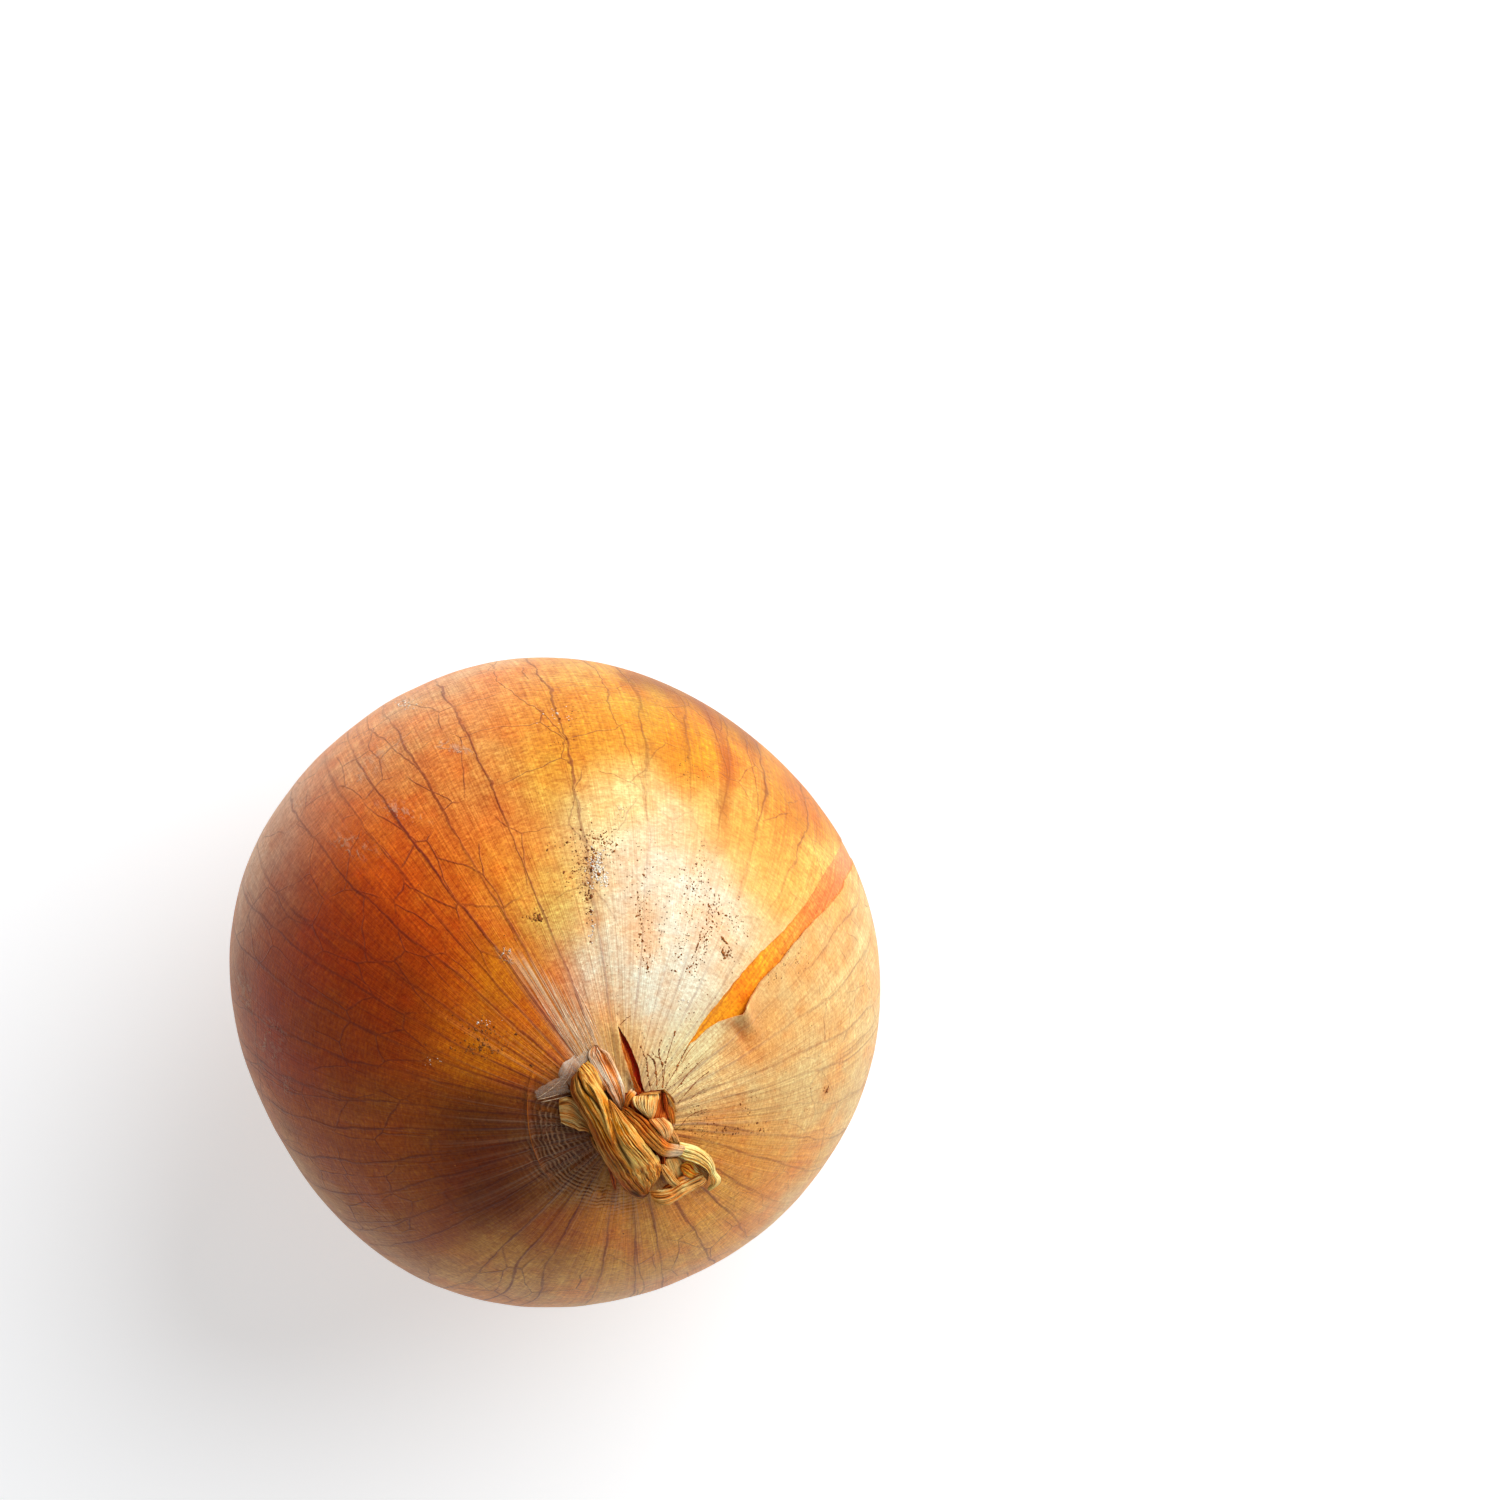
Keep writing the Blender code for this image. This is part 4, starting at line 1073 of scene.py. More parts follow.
    # strands gathered all round the neck
    tuft = s.noise(s.scaled(cyl, (36, 36, 0.6), (2, 9, 1)), detail=4, rough=0.65)
    close = s.sub(1.0, s.step(0.12, 0.75, level))
    colour = s.mix(s.mul(s.mul(s.step(0.50, 0.64, tuft), close), 0.24), colour, s.mix(0.5, colour, (0.90, 0.78, 0.58, 1)))
    colour = s.mix(s.mul(s.mul(s.step(0.47, 0.36, tuft), close), 0.50), colour, s.mix(1.0, colour, (0.62, 0.42, 0.26, 1), "MULTIPLY"))

    # fine wrinkles across the fibres beside the neck, with painted shade in their troughs and paler painted light along
    # their crests
    _, _, turn_down = s.parts(cyl)
    waves = s.add(s.mul(turn_down, 400.0), s.mul(s.noise(s.scaled(cyl, (3.2, 3.2, 6)), detail=3), 26.0))
    wave = s.math("SINE", waves)
    broken = s.step(0.34, 0.54, s.noise(s.scaled(cyl, (9, 9, 26), (0, 3, 3)), detail=2))
    wrinkle = s.mul(s.mul(s.step(-0.3, 0.7, wave), hatch_w), broken)
    colour = s.mix(s.mul(wrinkle, 0.75), colour, s.mix(1.0, colour, (0.30, 0.24, 0.20, 1), "MULTIPLY"))
    raised = s.mul(s.mul(s.step(-0.3, -0.9, wave), hatch_w), broken)
    colour = s.mix(s.mul(raised, 0.55), colour, (0.56, 0.34, 0.19, 1))
    grey = s.mul(s.step(0.52, 0.64, s.noise(s.scaled(cyl, (60, 60, 4), (1, 1, 4)), detail=3)), hatch_w)
    colour = s.mix(s.mul(grey, 0.40), colour, (0.46, 0.34, 0.24, 1))

    # scuffs: the top layer rubbed pale, with thin curled flake edges
    flake = s.noise(s.scaled(cyl, (60, 60, 30), (4, 4, 4)), detail=5, rough=0.7)
    rubbed = s.mul(s.step(0.52, 0.60, s.add(flake, s.mul(s.sub(scuff_w, 0.5), 0.14))), scuff_w)
    colour = s.mix(s.mul(rubbed, 0.50), colour, s.mix(0.5, colour, (0.90, 0.76, 0.58, 1)))
    peel = s.node("ShaderNodeTexVoronoi", feature="DISTANCE_TO_EDGE")
    peel_place = s.node("ShaderNodeVectorMath", operation="ADD")
    swirl = s.node("ShaderNodeTexNoise")
    s.put(swirl.inputs["Vector"], place)
    swirl.inputs["Scale"].default_value = 500
    swirl.inputs["Detail"].default_value = 3
    s.put(peel_place.inputs[0], s.scaled(place, (260, 260, 260)))
    s.put(peel_place.inputs[1], s.scaled(swirl.outputs["Color"], (1.6, 1.6, 1.6), (-0.8, -0.8, -0.8)))
    s.put(peel.inputs["Vector"], peel_place.outputs[0])
    peel.inputs["Scale"].default_value = 1.0
    gate = s.step(0.50, 0.56, s.noise(place, scale=330, detail=3, rough=0.6))
    edge = s.mul(s.sub(1.0, s.step(0.010, 0.045, peel.outputs["Distance"])), s.mul(gate, s.step(0.18, 0.60, scuff_w)))
    colour = s.mix(s.mul(edge, 0.60), colour, s.mix(0.5, colour, (0.94, 0.74, 0.52, 1)))

    # soil specks: round ones, and beads strung along the fibres near the neck
    cluster = s.step(0.40, 0.62, s.noise(place, scale=520, detail=3))
    many = s.mul(soil_w, s.math("MULTIPLY_ADD", cluster, 1.35, 0.20))
    dots2 = s.cells(place, 3400, "F1")
    pick2, _, _ = s.parts(dots2.outputs["Color"])
    share2 = s.sub(1.0, s.mul(many, 0.60))
    dust = s.mul(s.sub(1.0, s.step(0.22, 0.46, dots2.outputs["Distance"])), s.step(share2, s.add(share2, 0.05), pick2))
    dirt = s.mul(dust, 0.72)
    colour = s.mix(dirt, colour, (0.12, 0.032, 0.008, 1))

    height = s.add(s.mul(fibre, 0.60), s.mul(thread, 0.30))
    height = s.add(height, s.mul(mottle, 0.30))
    height = s.add(height, s.mul(grain, 0.12))
    height = s.add(height, s.mul(drawn, 0.35))
    height = s.add(height, s.mul(wrinkle, -1.0))
    height = s.add(height, s.add(s.mul(white, 0.6), s.mul(s.mul(tuft, close), 1.2)))
    height = s.add(height, s.add(s.mul(dirt, 0.35), s.add(s.mul(rubbed, 0.25), s.mul(edge, 0.7))))
    height = s.add(height, s.mul(cross, 0.35))
    normal = s.bump(height, 0.00017)
    rough = s.add(s.span(fibre, 0.36, 0.50), s.add(s.mul(dirt, 0.3), s.mul(rubbed, 0.12)))
    return s.finish(colour, rough, normal, Coat_Weight=0.03, Coat_Roughness=0.34, Sheen_Weight=0.24,
                    Sheen_Roughness=0.30, Sheen_Tint=(1.0, 0.66, 0.40, 1.0), Specular_IOR_Level=0.12)


def leaf_material(name, rough=(0.50, 0.72), fibres=26.0, gloss=0.0):
    s = Shader(name)
    lay = s.attribute("lay", "Vector")
    tone = s.attribute("tone")
    place = s.node("ShaderNodeTexCoord").outputs["Object"]
    thread = s.noise(s.scaled(lay, (fibres * 0.26, 0.40, 3.0)), detail=4, rough=0.68)
    hair = s.noise(s.scaled(lay, (fibres * 0.75, 1.2, 5.0)), detail=2, rough=0.6)
    blotch = s.noise(s.scaled(lay, (1.1, 0.45, 2.0)), detail=4, rough=0.6)
    grain = s.noise(place, scale=3000, detail=2)
    light = s.mul(s.around_one(thread, 2.0), s.around_one(hair, 1.1))
    light = s.mul(light, s.around_one(grain, 0.5))
    colour = s.times(tone, light)
    rusty = s.mix(1.0, colour, (1.06, 0.72, 0.45, 1), "MULTIPLY")
    straw = s.mix(1.0, colour, (1.03, 1.0, 0.90, 1), "MULTIPLY")
    colour = s.mix(s.step(0.36, 0.60, blotch), rusty, straw)
    crack = s.mul(s.step(0.44, 0.35, thread), 0.85)
    colour = s.mix(crack, colour, s.mix(1.0, colour, (0.32, 0.15, 0.07, 1), "MULTIPLY"))
    height = s.add(s.mul(thread, 0.9), s.mul(hair, 0.35))
    normal = s.bump(height, 0.00022)
    return s.finish(colour, s.span(thread, rough[0], rough[1]), normal, Sheen_Weight=0.04, Sheen_Roughness=0.4,
                    Sheen_Tint=(1.0, 0.75, 0.5, 1.0), Coat_Weight=gloss, Coat_Roughness=0.4, Specular_IOR_Level=0.10)


def root_material(name, dark, light_colour):
    s = Shader(name)
    place = s.node("ShaderNodeTexCoord").outputs["Object"]
    n = s.noise(place, scale=900, detail=5, rough=0.7)
    m = s.noise(place, scale=260, detail=3, rough=0.6)
    colour = s.mix(s.step(0.35, 0.65, n), dark, light_colour)
    colour = s.times(colour, s.span(m, 0.6, 1.4))
    normal = s.bump(s.add(n, s.mul(m, 0.5)), 0.0003)
    return s.finish(colour, s.span(n, 0.75, 0.95), normal, Specular_IOR_Level=0.25)


def film_material(name, alpha):
    s = Shader(name)
    lay = s.attribute("lay", "Vector")
    n = s.noise(s.scaled(lay, (6, 2.2, 1)), detail=4, rough=0.7)
    colour = s.mix(s.step(0.35, 0.65, n), (1.0, 0.66, 0.38, 1), (1.0, 0.96, 0.86, 1))
    normal = s.bump(n, 0.0002)
    mat = s.finish(colour, s.span(n, 0.25, 0.5), normal, Alpha=alpha, Specular_IOR_Level=0.3)
    return mat


def dress(ob, material):
    ob.data.materials.clear()
    ob.data.materials.append(material)
    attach(ob, "root")


# ------------------------------------------------------------------ build the onion
outer = build_outer_skin()
dress(outer, skin_material("papery_skin_look"))
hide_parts("outer_skin")

inner = build_under_skin()
dress(inner, skin_material("under_skin_look", under=True))
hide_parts("bulb")

STRAW = ((0.2, 0.0331, 0.00085), (0.78, 0.285, 0.0085), (0.95, 0.607, 0.17), (0.6, 0.166, 0.0085))
TAN = ((0.24, 0.025, 0.001), (0.74, 0.17, 0.008), (0.95, 0.44, 0.08), (0.95, 0.86, 0.66))
PALE = ((0.62, 0.251, 0.026), (0.93, 0.595, 0.15), (0.95, 0.818, 0.36), (0.95, 0.763, 0.22))
RIBBED = ((0.42, 0.13, 0.015), (0.92, 0.48, 0.12), (0.95, 0.74, 0.34), (0.90, 0.45, 0.10))
RUST = ((0.10, 0.005, 0.0004), (0.34, 0.036, 0.002), (0.66, 0.15, 0.014), (0.46, 0.08, 0.008))
ORANGE = ((0.45, 0.10, 0.010), (0.92, 0.42, 0.085), (0.95, 0.72, 0.30), (0.92, 0.42, 0.07))
PEACH = ((0.58, 0.15, 0.02), (0.88, 0.42, 0.12), (0.95, 0.62, 0.27), (0.80, 0.32, 0.07))
GLOW = ((0.30, 0.040, 0.002), (0.82, 0.24, 0.012), (0.95, 0.60, 0.08), (0.62, 0.16, 0.008))
SCRAP = ((0.22, 0.050, 0.004), (0.78, 0.33, 0.055), (0.95, 0.66, 0.28), (0.72, 0.30, 0.05))
PLEAT = ((0.50, 0.12, 0.012), (0.84, 0.37, 0.09), (0.93, 0.80, 0.66), (0.62, 0.26, 0.06))
SHADE = ((0.08, 0.018, 0.002), (0.36, 0.12, 0.018), (0.62, 0.30, 0.07), (0.22, 0.06, 0.008))

straw_mat = leaf_material("straw_leaf_look", fibres=32)
tan_mat = leaf_material("tan_leaf_look", fibres=32)
pale_mat = leaf_material("pale_leaf_look", fibres=24)
rib_mat = leaf_material("ribbed_leaf_look", fibres=26)
rust_mat = leaf_material("rust_leaf_look", fibres=20)
shred_mat = leaf_material("shredded_leaf_look", fibres=30)

wide = leaf("neck_wide", (
    (135, 285, 190, 240, 0.9, 1.1), (92, 345, 285, 300, 1.3, 1.6), (96, 465, 350, 400, 1.7, 2.0),
    (168, 610, 425, 530, 1.8, 2.1), (240, 745, 535, 680, 1.8, 2.0), (300, 885, 645, 820, 1.7, 1.9),
    (375, 1035, 752, 945, 1.6, 1.8), (440, 1140, 860, 1045, 1.4, 1.7), (490, 1215, 882, 1100, 1.2, 1.5),
    (550, 1290, 884, 1148, 0.9, 1.3), (615, 1348, 866, 1195, 0.7, 1.0), (690, 1376, 832, 1240, 0.5, 0.7),
    (750, 1352, 796, 1290, 0.3, 0.4)),
    STRAW, along=240, across=96, crown=1.55, body=2.4, ridges=(0.24, 0.20, 0.12), ribs=17.0,
    valleys=((0.34, 0.62, 0.04, 0.30, 0.055, 0.75), (0.22, 0.30, 0.05, 0.34, 0.05, 0.30),
             (0.62, 0.46, 0.28, 0.60, 0.045, 0.55), (0.60, 0.74, 0.62, 0.95, 0.025, 0.22),
             (0.30, 0.36, 0.50, 0.95, 0.025, 0.22), (0.16, 0.20, 0.40, 0.9, 0.02, 0.18),
             (0.12, 0.12, 0.80, 1.0, 0.10, 0.50)),
    rough_edge=0.14, rough_end=0.9, seed=3, shade=0.45)
dress(wide, straw_mat)
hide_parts("neck_leaf_wide")

# upper lobe that folds over the thick leaf from its right side
fold_over = leaf("neck_wide_fold", (
    (150, 262, 208, 196, 2.0, 1.8), (205, 345, 296, 296, 3.0, 2.2), (268, 415, 352, 398, 3.5, 2.5),
    (318, 500, 408, 492, 3.7, 2.7), (352, 590, 446, 590, 3.7, 2.8), (388, 690, 462, 690, 3.7, 2.9),
    (412, 790, 478, 790, 3.6, 2.9), (440, 880, 500, 880, 3.3, 2.8), (478, 960, 520, 960, 2.9, 2.6)),
    STRAW, along=150, across=36, crown=0.35, body=0.75, ridges=(0.20, 0.14, 0.08), ribs=6.0,
    rough_edge=0.10, rough_end=0.8, seed=5)
dress(fold_over, straw_mat)

# third lobe that lies on the lower right of the thick leaf
lobe = leaf("neck_wide_lobe", (
    (408, 525, 432, 515, 2.6, 2.3), (440, 600, 500, 585, 3.0, 2.4), (462, 700, 588, 690, 3.3, 2.4),
    (492, 800, 666, 790, 3.4, 2.3), (550, 900, 738, 885, 3.4, 2.2), (628, 985, 800, 970, 3.2, 2.0),
    (700, 1060, 860, 1050, 2.9, 1.8), (760, 1110, 880, 1100, 2.4, 1.6), (800, 1140, 884, 1140, 1.9, 1.3)),
    STRAW, along=170, across=56, crown=0.50, body=0.9, ridges=(0.20, 0.16, 0.10), ribs=11.0,
    valleys=((0.40, 0.46, 0.25, 0.95, 0.04, 0.24),), rough_edge=0.10, rough_end=0.9, seed=8)
dress(lobe, straw_mat)

# dark shrivelled tip tucked under the thick leaf's end
tip = leaf("neck_wide_tip", (
    (500, 1190, 560, 1170, 0.3, 0.7), (530, 1262, 640, 1230, 0.5, 1.0), (585, 1330, 700, 1290, 0.5, 1.1),
    (655, 1378, 750, 1330, 0.5, 1.0), (735, 1378, 790, 1325, 0.35, 0.7)),
    SHADE, along=90, across=40, crown=0.35, body=0.5, ridges=(0.24, 0.18, 0.08), ribs=7.0, rough_edge=0.22, rough_end=0.8, seed=9)
dress(tip, rust_mat)

band = leaf("neck_band", (
    (560, 562, 525, 632, 1.2, 1.0), (625, 600, 560, 690, 1.7, 1.2), (700, 655, 625, 765, 2.0, 1.5),
    (790, 728, 705, 850, 2.2, 1.7), (870, 820, 790, 935, 2.2, 1.8), (940, 888, 870, 1000, 2.0, 1.7),
    (1010, 905, 945, 1018, 1.8, 1.5), (1095, 930, 1058, 1010, 1.5, 1.3)),
    TAN, along=180, across=52, crown=0.42, body=0.8, ridges=(0.22, 0.17, 0.10), ribs=9.5,
    valleys=((0.42, 0.50, 0.02, 0.74, 0.035, 0.32), (0.74, 0.68, 0.05, 0.7, 0.03, 0.26), (0.20, 0.24, 0.2, 0.7, 0.025, 0.2)),
    rough_edge=0.12, rough_end=0.7, seed=13)
dress(band, tan_mat)
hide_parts("neck_leaf_band")

core = leaf("neck_core", (
    (470, 470, 905, 430, 0.25, 0.5), (500, 620, 985, 600, 0.5, 0.6), (560, 760, 980, 780, 0.6, 0.5),
    (640, 900, 950, 880, 0.5, 0.5), (740, 1020, 930, 1000, 0.5, 0.5), (770, 1100, 915, 1080, 0.35, 0.35), (780, 1170, 850, 1140, 0.2, 0.2)),
    RUST, along=120, across=60, crown=0.35, body=0.5, ridges=(0.34, 0.24, 0.12), ribs=12.0, rough_edge=0.30, rough_end=1.0, seed=17)
dress(core, rust_mat)

panel = leaf("neck_panel", (
    (640, 488, 862, 470, 2.4, 1.7), (632, 530, 862, 520, 2.8, 1.9), (655, 580, 848, 590, 2.8, 1.9),
    (705, 630, 828, 650, 2.5, 1.8), (765, 680, 806, 695, 1.8, 1.5)),
    RIBBED, along=90, across=84, crown=0.35, body=0.7, ridges=(0.12, 0.12, 0.09), ribs=16.0, rough_edge=0.12, rough_end=0.35, seed=23)
dress(panel, rib_mat)
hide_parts("neck_leaf_knot")

lip = leaf("neck_panel_lip", (
    (556, 560, 590, 590, 1.3, 1.6), (566, 500, 620, 540, 1.7, 2.1), (590, 452, 650, 500, 2.0, 2.3), (630, 425, 668, 462, 1.6, 2.0)),
    TAN, along=70, across=26, crown=0.35, body=0.6, ridges=(0.18, 0.12, 0.06), ribs=4.0, rough_edge=0.20, rough_end=0.7, seed=27)
dress(lip, tan_mat)

# dark strip along the top edge of the ribbed panel: painted shadow line in the crevice above that edge
rim = leaf("neck_panel_shadow_line", (
    (690, 470, 700, 492, 2.1, 2.4), (760, 452, 764, 478, 2.3, 2.5), (830, 448, 834, 474, 2.3, 2.5), (880, 440, 878, 466, 2.2, 2.3)),
    SHADE, along=50, across=14, crown=0.15, body=0.3, ridges=(0.10, 0.07, 0.04), ribs=2.0, rough_edge=0.10, rough_end=0.5, seed=29)
dress(rim, rust_mat)

# torn fibres round the dark hollow, right of the ribbed panel
hollow = leaf("neck_hollow", (
    (880, 432, 905, 430, 1.4, 1.2), (862, 500, 945, 490, 1.2, 1.0), (838, 580, 958, 580, 1.3, 0.9),
    (812, 650, 950, 665, 1.4, 1.0), (800, 690, 930, 705, 1.3, 1.0)),
    RUST, along=90, across=40, crown=0.15, body=0.5, ridges=(0.30, 0.24, 0.12), ribs=8.0, rough_edge=0.14, rough_end=0.6, seed=37)
dress(hollow, rust_mat)
for n, (name, st, cols) in enumerate((
        ("neck_thorn_a", ((884, 428, 905, 425, 1.6, 1.7), (915, 470, 945, 462, 1.6, 2.0), (950, 515, 985, 505, 1.3, 1.7), (985, 552, 1002, 545, 0.9, 1.2)), SHADE),
        ("neck_thorn_b", ((905, 455, 930, 448, 1.6, 1.8), (930, 520, 970, 510, 1.5, 2.0), (955, 585, 1005, 570, 1.2, 1.8), (985, 640, 1022, 622, 0.8, 1.2)), SCRAP),
        ("neck_thorn_c", ((890, 460, 912, 458, 1.7, 1.8), (902, 540, 935, 535, 1.6, 1.9), (912, 620, 948, 620, 1.3, 1.6), (925, 680, 950, 680, 0.9, 1.1)), RUST),
        ("neck_thorn_d", ((925, 560, 960, 550, 1.2, 1.4), (940, 640, 1000, 630, 1.1, 1.5), (955, 710, 1010, 700, 0.8, 1.1), (965, 760, 995, 755, 0.5, 0.6)), TAN))):
    thorn = leaf(name, st, cols, along=60, across=16, crown=0.18, body=0.32, ridges=(0.14, 0.10, 0.05), ribs=3.0,
                 rough_edge=0.14, rough_end=0.7, seed=101 + 3 * n)
    dress(thorn, tan_mat)

knuckle = leaf("neck_knuckle", (
    (775, 690, 905, 672, 2.1, 1.2), (805, 735, 975, 728, 2.7, 1.3), (845, 785, 992, 785, 2.7, 1.3),
    (885, 832, 978, 835, 2.4, 1.2), (912, 872, 955, 880, 1.7, 1.0)),
    PEACH, along=80, across=50, crown=0.42, body=0.9, ridges=(0.20, 0.18, 0.12), ribs=9.0, rough_edge=0.18, rough_end=0.6, seed=41)
dress(knuckle, tan_mat)

shard = leaf("neck_shard", (
    (960, 805, 1000, 795, 0.9, 1.0), (975, 850, 1035, 845, 1.2, 1.1), (985, 885, 1062, 905, 1.0, 0.9), (1040, 912, 1072, 916, 0.7, 0.7)),
    ((0.22, 0.06, 0.012), (0.56, 0.24, 0.06), (0.80, 0.48, 0.18), (0.50, 0.22, 0.06)),
    along=50, across=20, crown=0.15, body=0.3, ridges=(0.14, 0.08, 0.04), ribs=3.0, rough_edge=0.12, rough_end=0.5, seed=43)
dress(shard, tan_mat)

curl = leaf("neck_curl", (
    (1045, 885, 1030, 1020, 0.9, 1.1), (1110, 899, 1090, 1046, 1.1, 1.7), (1180, 920, 1160, 1066, 1.2, 2.1),
    (1250, 960, 1215, 1090, 1.3, 2.3), (1308, 1014, 1258, 1120, 1.4, 2.4), (1344, 1078, 1290, 1160, 1.4, 2.3),
    (1358, 1140, 1306, 1190, 1.3, 2.2), (1402, 1200, 1316, 1232, 1.2, 2.0), (1396, 1250, 1306, 1262, 1.1, 1.7),
    (1352, 1284, 1290, 1290, 0.9, 1.4), (1310, 1312, 1282, 1308, 0.6, 0.9)),
    PALE, along=210, across=44, crown=0.38, body=0.55, ridges=(0.16, 0.12, 0.07), ribs=6.0,
    valleys=((0.55, 0.5, 0.05, 0.7, 0.04, 0.20), (0.30, 0.34, 0.1, 0.7, 0.03, 0.14)), rough_edge=0.12, rough_end=0.4, seed=47)
dress(curl, pale_mat)
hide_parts("neck_leaf_curled")

# the same leaf's inner face, seen where it turns over, and its lower half running back
turn = leaf("neck_curl_turn", (
    (1180, 1060, 1205, 1150, 1.0, 1.2), (1230, 1085, 1240, 1180, 1.3, 1.5), (1278, 1120, 1275, 1215, 1.5, 1.6), (1300, 1180, 1275, 1270, 1.5, 1.2)),
    ((0.34, 0.10, 0.012), (0.80, 0.42, 0.12), (0.93, 0.66, 0.32), (0.72, 0.26, 0.04)),
    along=80, across=36, crown=0.15, body=0.4, ridges=(0.20, 0.14, 0.08), ribs=6.0, rough_edge=0.18, rough_end=0.6, seed=49)
dress(turn, tan_mat)

curl_low = leaf("neck_curl_low", (
    (1285, 1222, 1232, 1150, 1.9, 1.3), (1240, 1268, 1180, 1170, 2.0, 1.3), (1165, 1305, 1110, 1200, 1.9, 1.2),
    (1090, 1350, 1050, 1232, 2.3, 1.4), (1010, 1402, 970, 1285, 2.6, 1.4), (940, 1435, 895, 1300, 2.7, 1.4),
    (870, 1432, 840, 1305, 2.3, 1.2), (800, 1385, 785, 1315, 1.3, 0.8)),
    ORANGE, along=190, across=44, crown=0.32, body=0.45, ridges=(0.22, 0.16, 0.08), ribs=6.0,
    valleys=((0.45, 0.55, 0.1, 0.6, 0.05, 0.30), (0.5, 0.4, 0.62, 0.95, 0.05, 0.28)), rough_edge=0.20, rough_end=0.8, seed=53)
dress(curl_low, tan_mat)

curl_back = leaf("neck_curl_back", (
    (860, 1335, 900, 1280, 0.6, 0.8), (930, 1320, 935, 1255, 0.9, 1.1), (1000, 1290, 985, 1225, 1.2, 1.4), (1080, 1250, 1060, 1190, 1.3, 1.5), (1150, 1225, 1140, 1165, 1.1, 1.2)),
    TAN, along=90, across=26, crown=0.2, body=0.35, ridges=(0.18, 0.12, 0.06), ribs=4.0, rough_edge=0.22, rough_end=0.8, seed=55)
dress(curl_back, tan_mat)

curl_in = leaf("neck_curl_inside", (
    (1045, 1115, 1060, 1075, 1.5, 1.2), (1075, 1165, 1120, 1062, 1.7, 1.4), (1110, 1195, 1180, 1090, 1.7, 1.4), (1175, 1205, 1230, 1140, 1.5, 1.2)),
    GLOW, along=60, across=36, crown=0.1, body=0.3, ridges=(0.30, 0.22, 0.10), ribs=7.0, rough_edge=0.30, rough_end=0.9, seed=59)
dress(curl_in, rust_mat)

curl_bit = leaf("neck_curl_strip", (
    (1108, 1062, 1140, 1050, 1.1, 1.2), (1150, 1105, 1180, 1092, 1.4, 1.4), (1178, 1150, 1215, 1140, 1.4, 1.3), (1200, 1190, 1235, 1185, 1.1, 1.0)),
    PALE, along=50, across=14, crown=0.15, body=0.25, ridges=(0.10, 0.06, 0.03), ribs=2.0, rough_edge=0.06, rough_end=0.3, seed=61)
dress(curl_bit, pale_mat)

# pale skin that closes the ground of the loop, coloured brighter than the skin round it: painted light where the curl's
# shadow falls
ground = leaf("neck_membrane", (
    (905, 1035, 1045, 1030, 1.25, 0.95), (925, 1100, 1075, 1085, 1.35, 1.05), (950, 1160, 1090, 1140, 1.35, 1.05), (985, 1215, 1090, 1195, 1.2, 0.95)),
    ((0.90, 0.36, 0.08), (0.95, 0.52, 0.15), (0.95, 0.62, 0.22), (0.95, 0.46, 0.10)),
    along=50, across=30, crown=0.10, body=0.2, ridges=(0.05, 0.04, 0.02), ribs=4.0, rough_edge=0.10, rough_end=0.3, seed=63)
dress(ground, tan_mat)

sliver = leaf("neck_sliver_strip", (
    (862, 1085, 905, 1080, 1.2, 1.3), (880, 1130, 950, 1118, 1.6, 1.7), (905, 1190, 985, 1165, 1.8, 1.8),
    (940, 1245, 1020, 1215, 1.8, 1.7), (985, 1285, 1052, 1250, 1.5, 1.5), (1030, 1315, 1085, 1285, 1.1, 1.1)),
    ORANGE, along=100, across=30, crown=0.28, body=0.40, ridges=(0.16, 0.12, 0.06), ribs=4.0,
    valleys=((0.35, 0.4, 0.2, 0.9, 0.06, 0.25),), rough_edge=0.10, rough_end=0.4, seed=67)
dress(sliver, tan_mat)
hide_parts("neck_sliver")

stub = leaf("neck_stub", (
    (735, 905, 762, 900, 1.3, 1.4), (728, 945, 775, 940, 1.6, 1.6), (732, 990, 778, 985, 1.5, 1.4), (750, 1030, 800, 1010, 1.2, 1.2)),
    SCRAP, along=50, across=20, crown=0.20, body=0.4, ridges=(0.14, 0.08, 0.04), ribs=3.0, rough_edge=0.08, rough_end=0.4, seed=71)
dress(stub, tan_mat)

